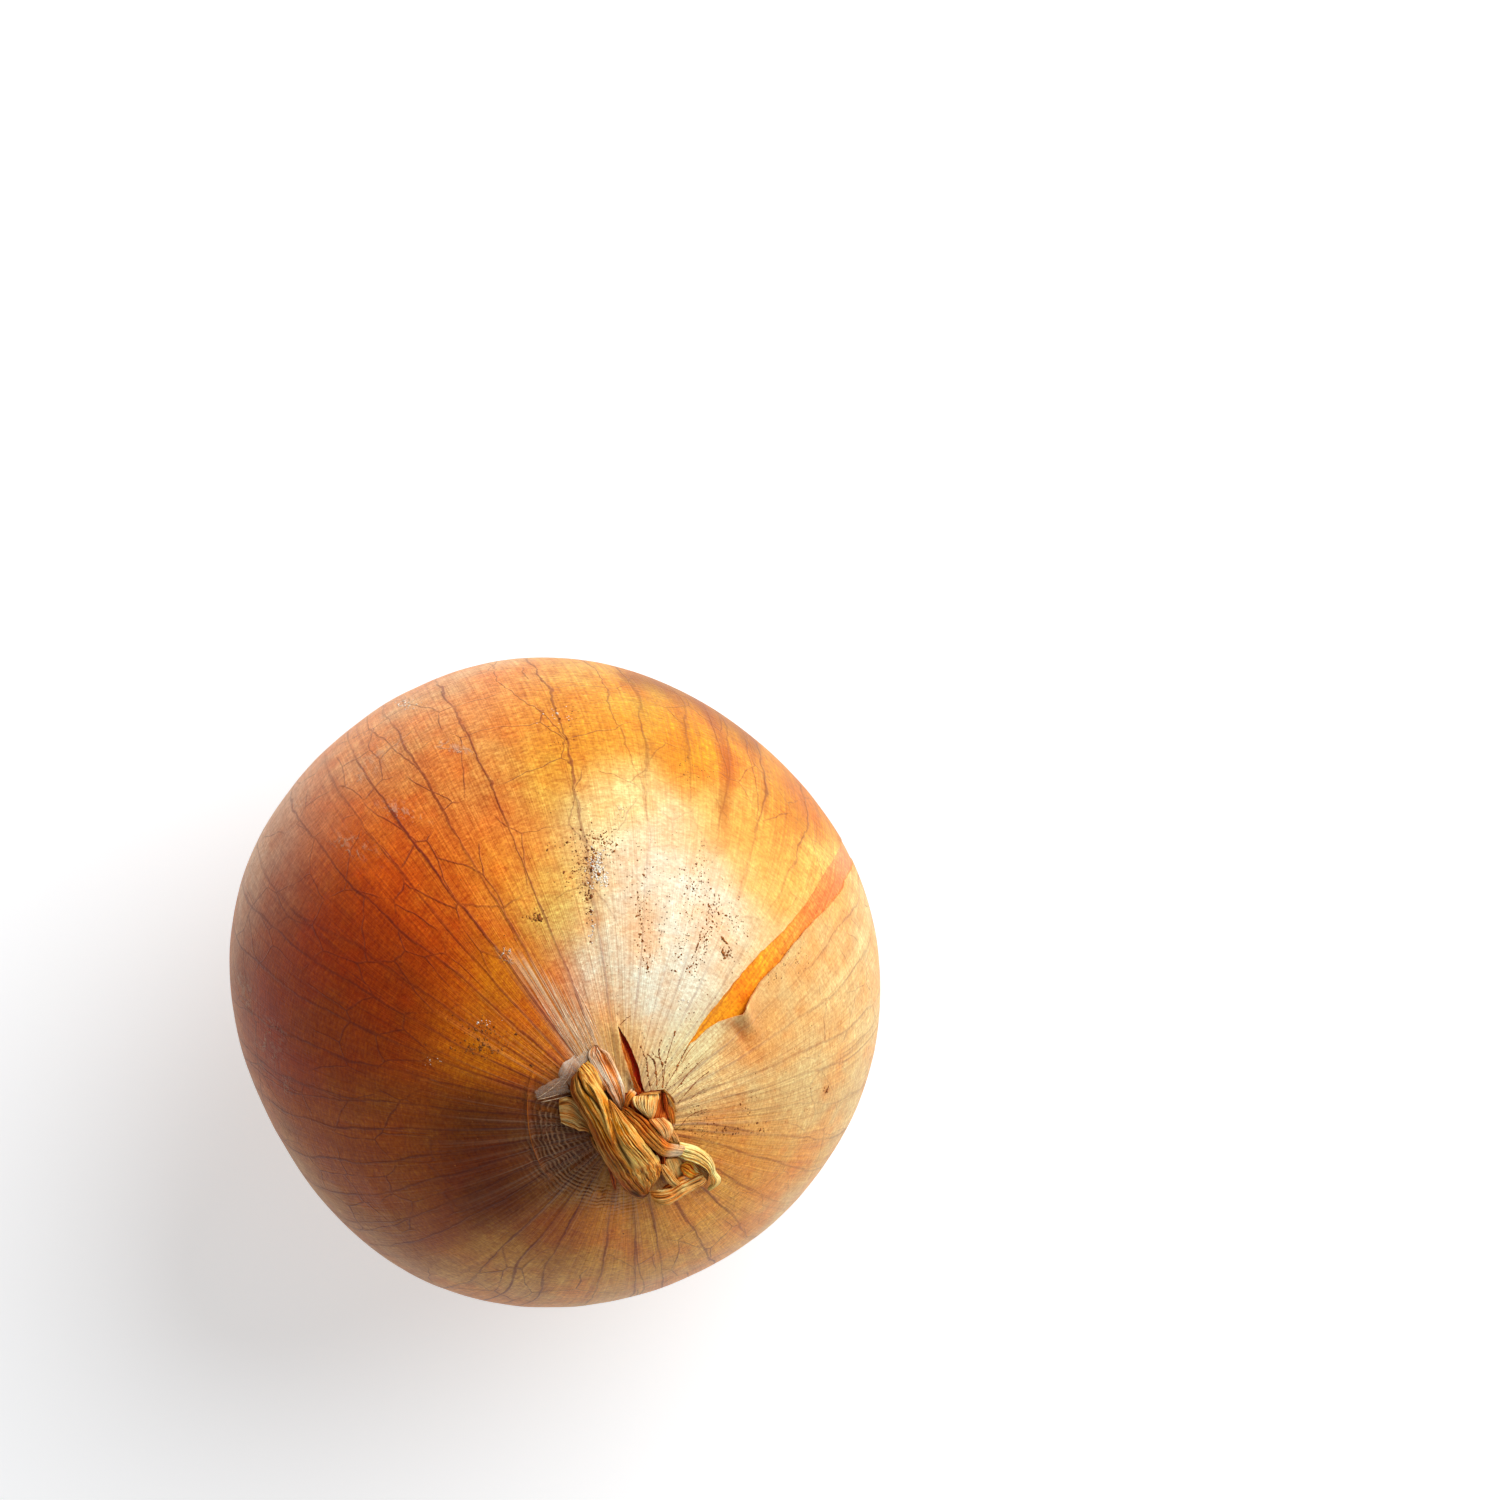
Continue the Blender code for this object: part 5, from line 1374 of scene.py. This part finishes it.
for n, (name, st, cols) in enumerate((
        ("neck_rag_a", ((870, 1000, 905, 990, 0.9, 1.1), (880, 1050, 930, 1045, 1.1, 1.3), (885, 1105, 925, 1110, 0.9, 1.0), (880, 1150, 905, 1150, 0.5, 0.6)), RUST),
        ("neck_rag_b", ((795, 1010, 850, 1000, 1.0, 1.2), (800, 1050, 870, 1050, 1.2, 1.4), (810, 1090, 870, 1095, 1.0, 1.2)), ORANGE),
        ("neck_rag_c", ((850, 1180, 878, 1140, 0.8, 1.0), (830, 1215, 862, 1190, 0.8, 1.0), (808, 1250, 830, 1240, 0.5, 0.6)), RUST),
        ("neck_rag_d", ((425, 1060, 455, 1075, 0.4, 0.7), (425, 1140, 470, 1150, 0.6, 0.8), (440, 1220, 492, 1225, 0.6, 0.7), (470, 1300, 494, 1306, 0.3, 0.3)), RUST),
        ("neck_rag_e", ((255, 830, 285, 850, 0.3, 0.6), (262, 880, 305, 905, 0.5, 0.8), (300, 940, 345, 960, 0.5, 0.8), (345, 1000, 380, 1012, 0.2, 0.5)), SHADE),
        # the last sheet lies under the left scrap: a dark sheet of painted shadow of the scrap
        ("neck_scrap_shadow_sheet", ((150, 640, 240, 700, 0.15, 0.25), (170, 740, 270, 790, 0.2, 0.35), (230, 800, 300, 850, 0.15, 0.2)), SHADE))):
    rag = leaf(name, st, cols, along=60, across=24, crown=0.15, body=0.3, ridges=(0.18, 0.12, 0.06), ribs=4.0,
               rough_edge=0.20, rough_end=0.8, seed=151 + 5 * n)
    dress(rag, rust_mat)

scrap = leaf("neck_scrap_left", (
    (558.5, 1099.5, 560.5, 1122, 0.40, 0.5), (565, 1097, 566, 1125, 0.8, 0.8), (572, 1098, 574, 1128, 1.0, 0.9),
    (580, 1107, 581, 1130.5, 1.1, 0.9), (588, 1120, 589, 1131.5, 1.2, 0.8)),
    SCRAP, along=90, across=70, crown=0.15, body=0.30, ridges=(0.26, 0.20, 0.10), ribs=10.0, rough_edge=0.25, rough_end=0.9,
    seed=79, window=False)
dress(scrap, shred_mat)
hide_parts("neck_scrap")

pleat = leaf("neck_pleats", (
    (594.8, 1044.6, 597.4, 1045.0, 0.12, 0.12), (590.2, 1048.8, 602.4, 1049.2, 0.32, 0.25), (588, 1054.5, 607, 1051.5, 0.5, 0.35),
    (590.5, 1062, 611, 1056.5, 0.7, 0.45), (597, 1075, 618, 1071, 1.0, 0.7),
    (604, 1086, 623, 1083, 1.1, 0.9), (611, 1097, 625, 1093, 1.1, 1.0), (617, 1106, 625, 1104, 1.0, 1.0), (621, 1112, 624, 1111, 0.8, 0.8)),
    PLEAT, along=170, across=80, crown=0.25, body=0.5, ridges=(0.26, 0.22, 0.12), ribs=12.0, rough_edge=0.10, rough_end=0.8,
    seed=83, window=False)
dress(pleat, rib_mat)

collar = leaf("neck_collar", (
    (577, 1071, 588, 1060, 0.25, 0.3), (576, 1078, 596, 1066, 0.8, 0.8), (578, 1088, 602, 1078, 0.9, 1.0), (582, 1098, 606, 1090, 0.7, 0.8)),
    STRAW, along=60, across=40, crown=0.4, body=0.6, ridges=(0.24, 0.16, 0.08), ribs=6.0, rough_edge=0.12, rough_end=0.5,
    seed=89, window=False)
dress(collar, straw_mat)

# brown-orange lip that stands along the left side of the short slit
lip = leaf("neck_slit_lip", (
    (616.6, 1025.5, 618.0, 1027.2, 0.10, 0.10), (618.0, 1037, 621.2, 1036.2, 0.15, 0.35), (620.8, 1047, 625.2, 1045.4, 0.15, 0.50),
    (622.4, 1056, 628.4, 1054.2, 0.15, 0.55), (625.6, 1067, 631.6, 1064.6, 0.20, 0.60), (629.8, 1079, 634.8, 1076.4, 0.25, 0.60),
    (633.4, 1089, 639.4, 1086.6, 0.35, 0.60), (637.0, 1097, 642.0, 1095.0, 0.40, 0.45)),
    ((0.30, 0.035, 0.001), (0.62, 0.15, 0.010), (0.80, 0.34, 0.06), (0.40, 0.05, 0.002)),
    along=150, across=14, crown=0.10, body=0.16, ridges=(0.10, 0.08, 0.05), ribs=2.0, rough_edge=0.30, rough_end=0.4,
    seed=131, window=False)
dress(lip, tan_mat)

FILM = ((0.62, 0.40, 0.26), (0.86, 0.66, 0.48), (0.95, 0.88, 0.78), (0.95, 0.86, 0.74))
film_look = film_material("clear_film", 0.40)
thin_look = film_material("thin_film", 0.16)
film = leaf("neck_film", (
    (558, 1074.5, 559, 1077, 0.25, 0.2), (559.5, 1068, 563.5, 1077, 0.8, 0.5), (562.5, 1064, 567.5, 1074, 1.1, 0.6),
    (567, 1061.5, 571, 1067, 0.9, 0.6), (571.5, 1057.5, 573.5, 1060.5, 0.5, 0.4), (575, 1054.5, 575.8, 1055.6, 0.2, 0.2)),
    FILM, along=70, across=40, crown=0.10, body=0.06, ridges=(0.20, 0.14, 0.05), ribs=6.0, rough_edge=0.20, rough_end=0.7,
    seed=97, window=False)
dress(film, film_look)
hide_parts("film_scrap")

film2 = leaf("neck_film_wide", (
    (563, 1078, 570, 1086, 0.7, 0.4), (568, 1070, 577, 1078, 1.0, 0.7), (572, 1062, 582, 1069, 0.9, 0.7), (578, 1056, 588, 1060, 0.5, 0.4), (584, 1050, 592, 1053, 0.2, 0.2)),
    FILM, along=70, across=40, crown=0.08, body=0.05, ridges=(0.12, 0.08, 0.04), ribs=6.0, rough_edge=0.2, rough_end=0.8,
    seed=98, window=False)
dress(film2, thin_look)

film3 = leaf("neck_film_low", (
    (534, 1091, 537, 1099, 0.12, 0.12), (545, 1085, 549, 1097, 0.28, 0.3), (556, 1079, 560, 1094, 0.40, 0.4), (564, 1077, 571, 1092, 0.5, 0.5)),
    FILM, along=60, across=40, crown=0.10, body=0.05, ridges=(0.10, 0.07, 0.04), ribs=6.0, rough_edge=0.25, rough_end=0.8,
    seed=99, window=False)
dress(film3, thin_look)

# pale loose fibres over the neck's upper left and across the film
rng = np.random.default_rng(7)
paths, radii = [], []
for k in range(46):
    f = k / 45
    x0, y0 = 506 + 66 * f ** 0.9 + rng.normal(0, 3), 944 + 34 * f + rng.normal(0, 6)
    x1, y1 = 581 + 24 * f + rng.normal(0, 1.2), 1063 - 12 * f + rng.normal(0, 1.5)
    t0 = rng.uniform(0.0, 0.55)
    t = np.linspace(t0, 1.0, 22)
    bow = rng.normal(0, 2.0)
    px = x0 + (x1 - x0) * t + bow * np.sin(pi * t)
    py = y0 + (y1 - y0) * t - bow * 0.6 * np.sin(pi * t) + 6 * t * (1 - t)
    over = 0.03 + 0.10 * np.sin(pi * (t - t0) / (1 - t0)) * rng.uniform(0.2, 1.0)
    v = from_frame(px, py, over)
    paths.append(v + CENTRE)
    radii.append(rng.uniform(0.030, 0.060))
for x0, y0, x1, y1 in ((538, 1098, 563, 1077.5), (538, 1099.5, 559, 1094), (541, 1102, 571, 1095), (563, 1077, 573, 1058), (562, 1086, 573, 1066)):
    t = np.linspace(0, 1, 20)
    v = from_frame(x0 + (x1 - x0) * t + 2 * np.sin(pi * t), y0 + (y1 - y0) * t, 0.15 + 0.9 * np.sin(pi * t) * (0.3 + 0.7 * t))
    paths.append(v + CENTRE)
    radii.append(0.055)
fibres, how = tubes("neck_fibres", paths, radii, 4)
put_colour(fibres, "tone", np.tile(np.array([0.86, 0.78, 0.66]), (len(how), 1)))
put_vector(fibres, "lay", np.stack([how * 3, how * 9, how * 0], -1))
dress(fibres, leaf_material("pale_fibre_look", fibres=6))

def skin_at(px, py):
    """Points on the finished outer skin at places in the frame, with their directions."""
    v = from_frame(px, py, 0.0)
    d = v / np.linalg.norm(v, axis=-1, keepdims=True)
    around = np.degrees(np.arctan2(d @ SIDE_B, d @ SIDE_A)) % 360
    down = np.degrees(np.arccos(np.clip(d @ AXIS, -1, 1)))
    base = CENTRE + d * skin_radius(d)[..., None]
    return base + d * shape_offset(around, down, d, base)[..., None], d


def thicken(line, steps):
    pts = np.array(line, float)
    t = np.linspace(0, len(pts) - 1, steps)
    return spline(pts, t / (len(pts) - 1))


creases = []
for line, radius in (
        (((536, 1066), (531, 1077), (528.2, 1090), (527.6, 1104), (528.3, 1120), (530, 1134), (534, 1149), (540, 1163), (548, 1175)), 0.055),
        (((696, 1042.5), (688, 1052), (681, 1064)), 0.04)):
    q = thicken(line, 40)
    pts, d = skin_at(q[:, 0], q[:, 1])
    r = radius * np.sin(np.linspace(0.12, pi - 0.12, 40)) * (0.7 + 0.6 * noise3(np.arange(40) / 3.0, radius * 90, 0.5, 7))
    creases.append((pts + d * (0.01 * r)[:, None], r))
fold_edge, how = tubes("skin_fold_edges", [c[0] for c in creases], [c[1] for c in creases], 6)
put_colour(fold_edge, "tone", np.tile(np.array([0.42, 0.13, 0.018]), (len(how), 1)))
put_vector(fold_edge, "lay", np.stack([how * 2, how * 14, how * 0], -1))
dress(fold_edge, leaf_material("fold_edge_look", fibres=6))

# thin brown cracks that run into the knot from the upper right
CRACKS = (
    ((640.3, 1044.6), (643.9, 1054.9), (646.4, 1058.7), (647.1, 1069.6), (648.4, 1078), (649.6, 1085.7), (651.2, 1092)),
    ((646.4, 1053.6), (653.8, 1060.6), (655.1, 1071.6), (656.4, 1080.6), (657, 1091)),
    ((661.2, 1036.9), (659, 1047.1), (658.6, 1054.2), (661.9, 1065.1), (662.5, 1074.8), (662.5, 1083), (662.2, 1089)),
    ((675, 1030.4), (671.5, 1041.4), (668.9, 1049.7), (665.7, 1060), (664.4, 1068.4), (663.4, 1080), (662.8, 1088)),
    ((688, 1046.5), (682.4, 1056.1), (678.6, 1063.2), (674.7, 1070.9), (669.6, 1079.3), (664, 1088)),
    ((706, 1056), (697, 1064), (688.2, 1073.2), (679.9, 1083.7), (671.5, 1094)),
    ((708.1, 1071.6), (697.9, 1079.3), (690.1, 1087.6), (685, 1093.4), (677.3, 1103.1)),
    ((705.8, 1108.8), (697.5, 1111.4), (687.1, 1117.6), (678.9, 1125.9), (674.7, 1130)),
    ((722, 1078), (708, 1086), (696.6, 1093.4), (687.6, 1101.1), (680, 1108)),
    ((634.4, 1012.4), (628, 1017.4), (622.6, 1022.0), (619.6, 1025.6)))
crack_paths, crack_radii = [], []
for k, line in enumerate(CRACKS):
    q = thicken(line, 60)
    pts, d = skin_at(q[:, 0], q[:, 1])
    broken = smooth(0.28, 0.55, noise3(np.arange(60) / 3.5, 3.0 * k, 0.5, 17))
    r = 0.046 * np.sin(np.linspace(0.10, pi - 0.10, 60)) ** 0.6 * (0.16 + 0.84 * broken)
    crack_paths.append(pts + d * (0.004 + 0.1 * r)[:, None])
    crack_radii.append(r)
cracks, how = tubes("skin_cracks", crack_paths, crack_radii, 5)
put_colour(cracks, "tone", np.tile(np.array([0.27, 0.060, 0.008]), (len(how), 1)))
put_vector(cracks, "lay", np.stack([how * 2, how * 14, how * 0], -1))
dress(cracks, leaf_material("crack_look", fibres=6))

rng = np.random.default_rng(29)
spots = []      # px, py, size in mm, stretch, angle
for x, y, rx, ry, turn, count, size in (
        (590, 862, 11, 19, -12, 170, 0.085), (603, 842, 8, 9, 0, 60, 0.085), (578, 880, 12, 14, 0, 70, 0.060),
        (588, 905, 4, 14, 0, 36, 0.075), (537, 917, 6, 4, 0, 26, 0.12), (640, 922, 3, 26, 4, 56, 0.075),
        (646, 962, 3, 10, 8, 26, 0.08), (655, 905, 12, 26, 10, 70, 0.055), (697, 884, 12, 17, 0, 110, 0.060),
        (712, 914, 7, 16, 10, 70, 0.075), (704, 944, 4, 20, 22, 70, 0.075), (680, 950, 4, 18, 18, 60, 0.060),
        (726, 955, 4, 4.5, 0, 26, 0.11), (735, 925, 12, 10, 35, 60, 0.065), (688, 915, 10, 20, 12, 70, 0.055),
        (483, 1030, 13, 8, 10, 60, 0.085), (478, 1049, 14, 5, 4, 40, 0.12), (500, 1040, 12, 8, 20, 30, 0.07),
        (545, 1066, 14, 12, 0, 22, 0.06), (775, 962, 12, 9, -25, 50, 0.065), (800, 955, 6, 10, 0, 24, 0.065),
        (690, 1112, 9, 6, 20, 26, 0.07), (704, 1131, 14, 6, 3, 70, 0.075), (745, 1107, 12, 5, -50, 34, 0.065),
        (733, 1130, 12, 4, 5, 30, 0.07), (566, 716, 12, 6, 10, 34, 0.07), (562, 743, 9, 6, 30, 30, 0.06),
        (700, 770, 24, 12, 30, 60, 0.055), (760, 1130, 8, 4, 0, 14, 0.06), (560, 800, 30, 20, 0, 50, 0.045),
        (640, 840, 40, 30, 0, 110, 0.042), (700, 1010, 30, 24, 0, 70, 0.045), (800, 1090, 40, 40, 0, 50, 0.045),
        (470, 900, 70, 60, 0, 90, 0.040), (600, 1240, 70, 30, 0, 60, 0.045), (420, 1120, 60, 60, 0, 70, 0.045),
        (826, 1090, 2.2, 2.6, 0, 9, 0.15), (620, 1010, 10, 20, 0, 20, 0.05)):
    for _ in range(int(count * 0.8)):
        u, v = rng.normal(0, 0.76, 2)
        a = radians(turn)
        spots.append((x + u * rx * cos(a) - v * ry * sin(a), y + u * rx * sin(a) + v * ry * cos(a),
                      0.82 * size * rng.lognormal(0, 0.42), rng.uniform(1.0, 1.7), rng.uniform(0, pi)))
for line, size, step, gaps in (
        (((640.3, 1044.6), (643.9, 1054.9), (646.4, 1058.7), (647.1, 1069.6), (648.4, 1078), (649.6, 1085.7), (651.2, 1092)), 0.105, 1.9, 0.20),
        (((646.4, 1053.6), (653.8, 1060.6), (655.1, 1071.6), (656.4, 1080.6), (657, 1091)), 0.10, 1.8, 0.18),
        (((661.2, 1036.9), (659, 1047.1), (658.6, 1054.2), (661.9, 1065.1), (662.5, 1074.8), (662.5, 1083), (662.2, 1089)), 0.105, 1.8, 0.18),
        (((675, 1030.4), (671.5, 1041.4), (668.9, 1049.7), (665.7, 1060), (664.4, 1068.4)), 0.075, 2.2, 0.35),
        (((688, 1046.5), (682.4, 1056.1), (678.6, 1063.2), (674.7, 1070.9), (669.6, 1079.3), (664, 1088)), 0.085, 2.1, 0.30),
        (((688.2, 1063.2), (683.7, 1069.6), (677.3, 1078.6), (670.9, 1085.1), (667, 1089.6)), 0.06, 1.8, 0.3),
        (((696.6, 1063.2), (683.7, 1079.3), (679.9, 1085.7), (671.5, 1096)), 0.07, 2.6, 0.45),
        (((708.1, 1071.6), (697.9, 1079.3), (690.1, 1087.6), (685, 1093.4), (677.3, 1103.1)), 0.062, 1.3, 0.2),
        (((704.9, 1092.1), (696.6, 1095.4), (687.6, 1103.1)), 0.06, 1.4, 0.3),
        (((705.8, 1108.8), (697.5, 1111.4), (687.1, 1117.6), (678.9, 1125.9), (674.7, 1130)), 0.075, 2.2, 0.35),
        (((652, 1052), (655, 1056), (660, 1058)), 0.08, 1.4, 0.3),
        (((701, 931), (697, 946), (690, 962), (684, 975)), 0.085, 1.9, 0.35), (((722, 938), (727, 944), (731, 951)), 0.11, 1.6, 0.3),
        (((637, 893), (640, 912), (641, 930), (644, 950), (648, 968)), 0.08, 3.0, 0.4),
        (((594, 850), (592, 866), (590, 884), (589, 900), (594, 925)), 0.11, 2.4, 0.35)):
    pts = np.array(line)
    seg = np.hypot(*np.diff(pts, axis=0).T).sum()
    for t in np.arange(0, seg, step) / seg:
        if rng.random() < gaps:
            continue
        q = spline(pts, np.array([t]))[0]
        e = spline(pts, np.array([min(1.0, t + 0.02)]))[0] - spline(pts, np.array([max(0.0, t - 0.02)]))[0]
        spots.append((q[0] + rng.normal(0, 0.25), q[1] + rng.normal(0, 0.25), size * rng.lognormal(0, 0.3),
                      rng.uniform(1.0, 1.9), np.arctan2(-e[1], e[0])))


def speck_mesh(name, spots, rise):
    arr = np.array(spots)
    pts, d = skin_at(arr[:, 0], arr[:, 1])
    around = np.degrees(np.arctan2(d @ SIDE_B, d @ SIDE_A)) % 360
    down = np.degrees(np.arccos(np.clip(d @ AXIS, -1, 1)))
    keep = d[:, 2] > 0.05
    for table in (TEAR, SLIT):
        mid, half = opening(table, down)
        keep &= (np.abs((around - mid + 180) % 360 - 180) > half + 1.2) | (half < 0.02)
    arr, pts, d = arr[keep], pts[keep], d[keep]
    e1 = np.cross(np.array([0.0, 1.0, 0.0]), d)
    e1 /= np.linalg.norm(e1, axis=1, keepdims=True)
    e2 = np.cross(d, e1)
    verts, faces = [], []
    for p0, n, a1, a2, (x, y, size, stretch, turn) in zip(pts, d, e1, e2, arr):
        base = len(verts)
        m1 = a1 * cos(turn) + a2 * sin(turn)
        m2 = -a1 * sin(turn) + a2 * cos(turn)
        for k in range(6):
            w = 2 * pi * k / 6 + rng.uniform(-0.3, 0.3)
            r = size * rng.uniform(0.75, 1.25)
            verts.append(p0 + m1 * cos(w) * r * stretch + m2 * sin(w) * r + n * 0.01)
        verts.append(p0 + n * (0.01 + rise * size))
        verts.append(p0 - n * 0.06)
        for k in range(6):
            faces.append([base + k, base + (k + 1) % 6, base + 6])
            faces.append([base + (k + 1) % 6, base + k, base + 7])
    return make_object(name, verts, faces)


soil = speck_mesh("soil_specks", spots, 0.45)
dress(soil, root_material("soil_look", (0.13, 0.030, 0.004, 1), (0.46, 0.15, 0.03, 1)))
chips = []
for x, y, rx, ry, count, size in ((596, 866, 8, 14, 120, 0.075), (604, 880, 5, 7, 50, 0.07), (592, 925, 3, 14, 24, 0.06),
                                  (428, 1061, 10, 4, 9, 0.045), (486, 1022, 10, 5, 12, 0.045), (510, 951, 6, 5, 8, 0.05),
                                  (682, 1000, 6, 6, 8, 0.06), (404, 704, 10, 4, 30, 0.09), (560, 716, 16, 8, 16, 0.06)):
    for _ in range(count):
        u, v = rng.normal(0, 0.6, 2)
        chips.append((x + u * rx, y + v * ry, size * rng.lognormal(0, 0.35), rng.uniform(1.0, 2.0), rng.uniform(0, pi)))
pale_chips = speck_mesh("pale_chips", chips, 0.5)
dress(pale_chips, root_material("chip_look", (0.86, 0.75, 0.58, 1), (0.96, 0.93, 0.86, 1)))

# ------------------------------------------------------------------ root end
def build_root_plate():
    cols, downs = 120, np.concatenate([[180.0 - 10.6, 180 - 10.2], np.linspace(180 - 9.8, 179.3, 26)])
    verts, faces = [], []
    a = np.arange(cols) * 360.0 / cols
    for j, dn in enumerate(downs):
        t = (180 - dn) / 10.6
        d = direction(a, np.full(cols, dn))
        over = 0.9 * (1 - 0.75 * t ** 3) if j > 1 else (-0.30 if j == 0 else 0.15)
        lump = 0.9 * (fbm(d[:, 0] * 30, d[:, 1] * 30, d[:, 2] * 30, 101, 3) - 0.5) if j > 1 else 0.0
        rings = 0.10 * np.sin(t * 26.0)
        verts.append(CENTRE + d * (skin_radius(d) + over + lump + rings)[:, None])
    verts = np.concatenate(verts)
    m = len(downs)
    for j in range(m - 1):
        for i in range(cols):
            n = (i + 1) % cols
            faces.append([j * cols + i, (j + 1) * cols + i, (j + 1) * cols + n, j * cols + n])
    faces.append([(m - 1) * cols + i for i in range(cols)])
    faces.append([i for i in reversed(range(cols))])
    return make_object("root_disc", verts, faces)


disc = build_root_plate()
dress(disc, root_material("root_disc_look", (0.07, 0.038, 0.018, 1), (0.26, 0.17, 0.09, 1)))
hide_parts("root_plate")

paths, radii = [], []
for k in range(120):
    around = k * 137.508 + rng.normal(0, 6)
    start = 180.0 - (0.8 + 9.2 * sqrt((k + 0.5) / 120))
    reach = rng.uniform(2.0, 12.5)
    height = rng.uniform(1.2, 4.2)
    curve = rng.normal(0, 26)
    t = np.linspace(0, 1, 15)
    dn = start - reach * t ** 1.5
    ar = around + curve * t ** 1.6 + 6 * np.sin(t * 7 + k)
    ov = 0.3 + height * t ** 0.7 - 0.5 * height * t ** 2 + 0.25 * np.sin(t * 9 + k * 1.7)
    d = direction(ar, dn)
    p = CENTRE + d * (skin_radius(d) + ov)[:, None]
    low = 0.45 + 0.9 * rng.random()
    p[:, 2] = np.where(p[:, 2] < low + 1.2, low + 1.2 * np.exp((p[:, 2] - low - 1.2) / 1.2), p[:, 2])
    paths.append(p)
    radii.append(rng.uniform(0.16, 0.34))
roots, how = tubes("roots", paths, radii, 6)
dress(roots, root_material("root_look", (0.10, 0.055, 0.025, 1), (0.34, 0.22, 0.12, 1)))

# ------------------------------------------------------------------ floor, light, camera
bpy.ops.mesh.primitive_plane_add(size=6.0, location=(0, 0, 0))
floor = bpy.context.object
floor.name = "floor"
fm = Shader("floor_white")
fm.finish((0.69, 0.71, 0.73, 1.0), 0.9, None, Specular_IOR_Level=0.1, Emission_Strength=0.50)
fm.bsdf.inputs["Emission Color"].default_value = (1.0, 1.0, 1.0, 1.0)
floor.data.materials.append(fm.mat)


def area(name, where, size, watts, colour=(1, 1, 1), aim=(0, 0, 0.038)):
    lamp = bpy.data.lights.new(name, "AREA")
    lamp.shape = "DISK"
    lamp.size = size
    lamp.energy = watts
    lamp.color = colour
    ob = bpy.data.objects.new(name, lamp)
    bpy.context.scene.collection.objects.link(ob)
    from mathutils import Vector
    v = Vector(where)
    ob.location = v
    ob.rotation_euler = (Vector(aim) - v).to_track_quat("-Z", "Y").to_euler()
    return ob


LIGHT = np.array([0.577, 0.558, 0.597])
LIGHT = LIGHT / np.linalg.norm(LIGHT)
area("key", tuple(LIGHT * 1.2), 1.35, 19.5, (1.0, 1.0, 1.0))

world = bpy.data.worlds.new("studio")
bpy.context.scene.world = world
world.use_nodes = True
world.node_tree.nodes["Background"].inputs["Color"].default_value = (1.0, 1.0, 1.0, 1.0)
world.node_tree.nodes["Background"].inputs["Strength"].default_value = 0.25

camera = bpy.data.cameras.new("camera")
camera.lens = LENS
camera.sensor_width = SENSOR
camera.clip_start = 0.05
camera.clip_end = 10.0
cam = bpy.data.objects.new("camera", camera)
cam.location = tuple(CAM * MM)
cam.rotation_euler = (0.0, 0.0, 0.0)
bpy.context.scene.collection.objects.link(cam)
bpy.context.scene.camera = cam

view = bpy.context.scene.view_settings
view.view_transform = "Standard"
view.look = "None"
view.exposure = 0.0
view.gamma = 1.0
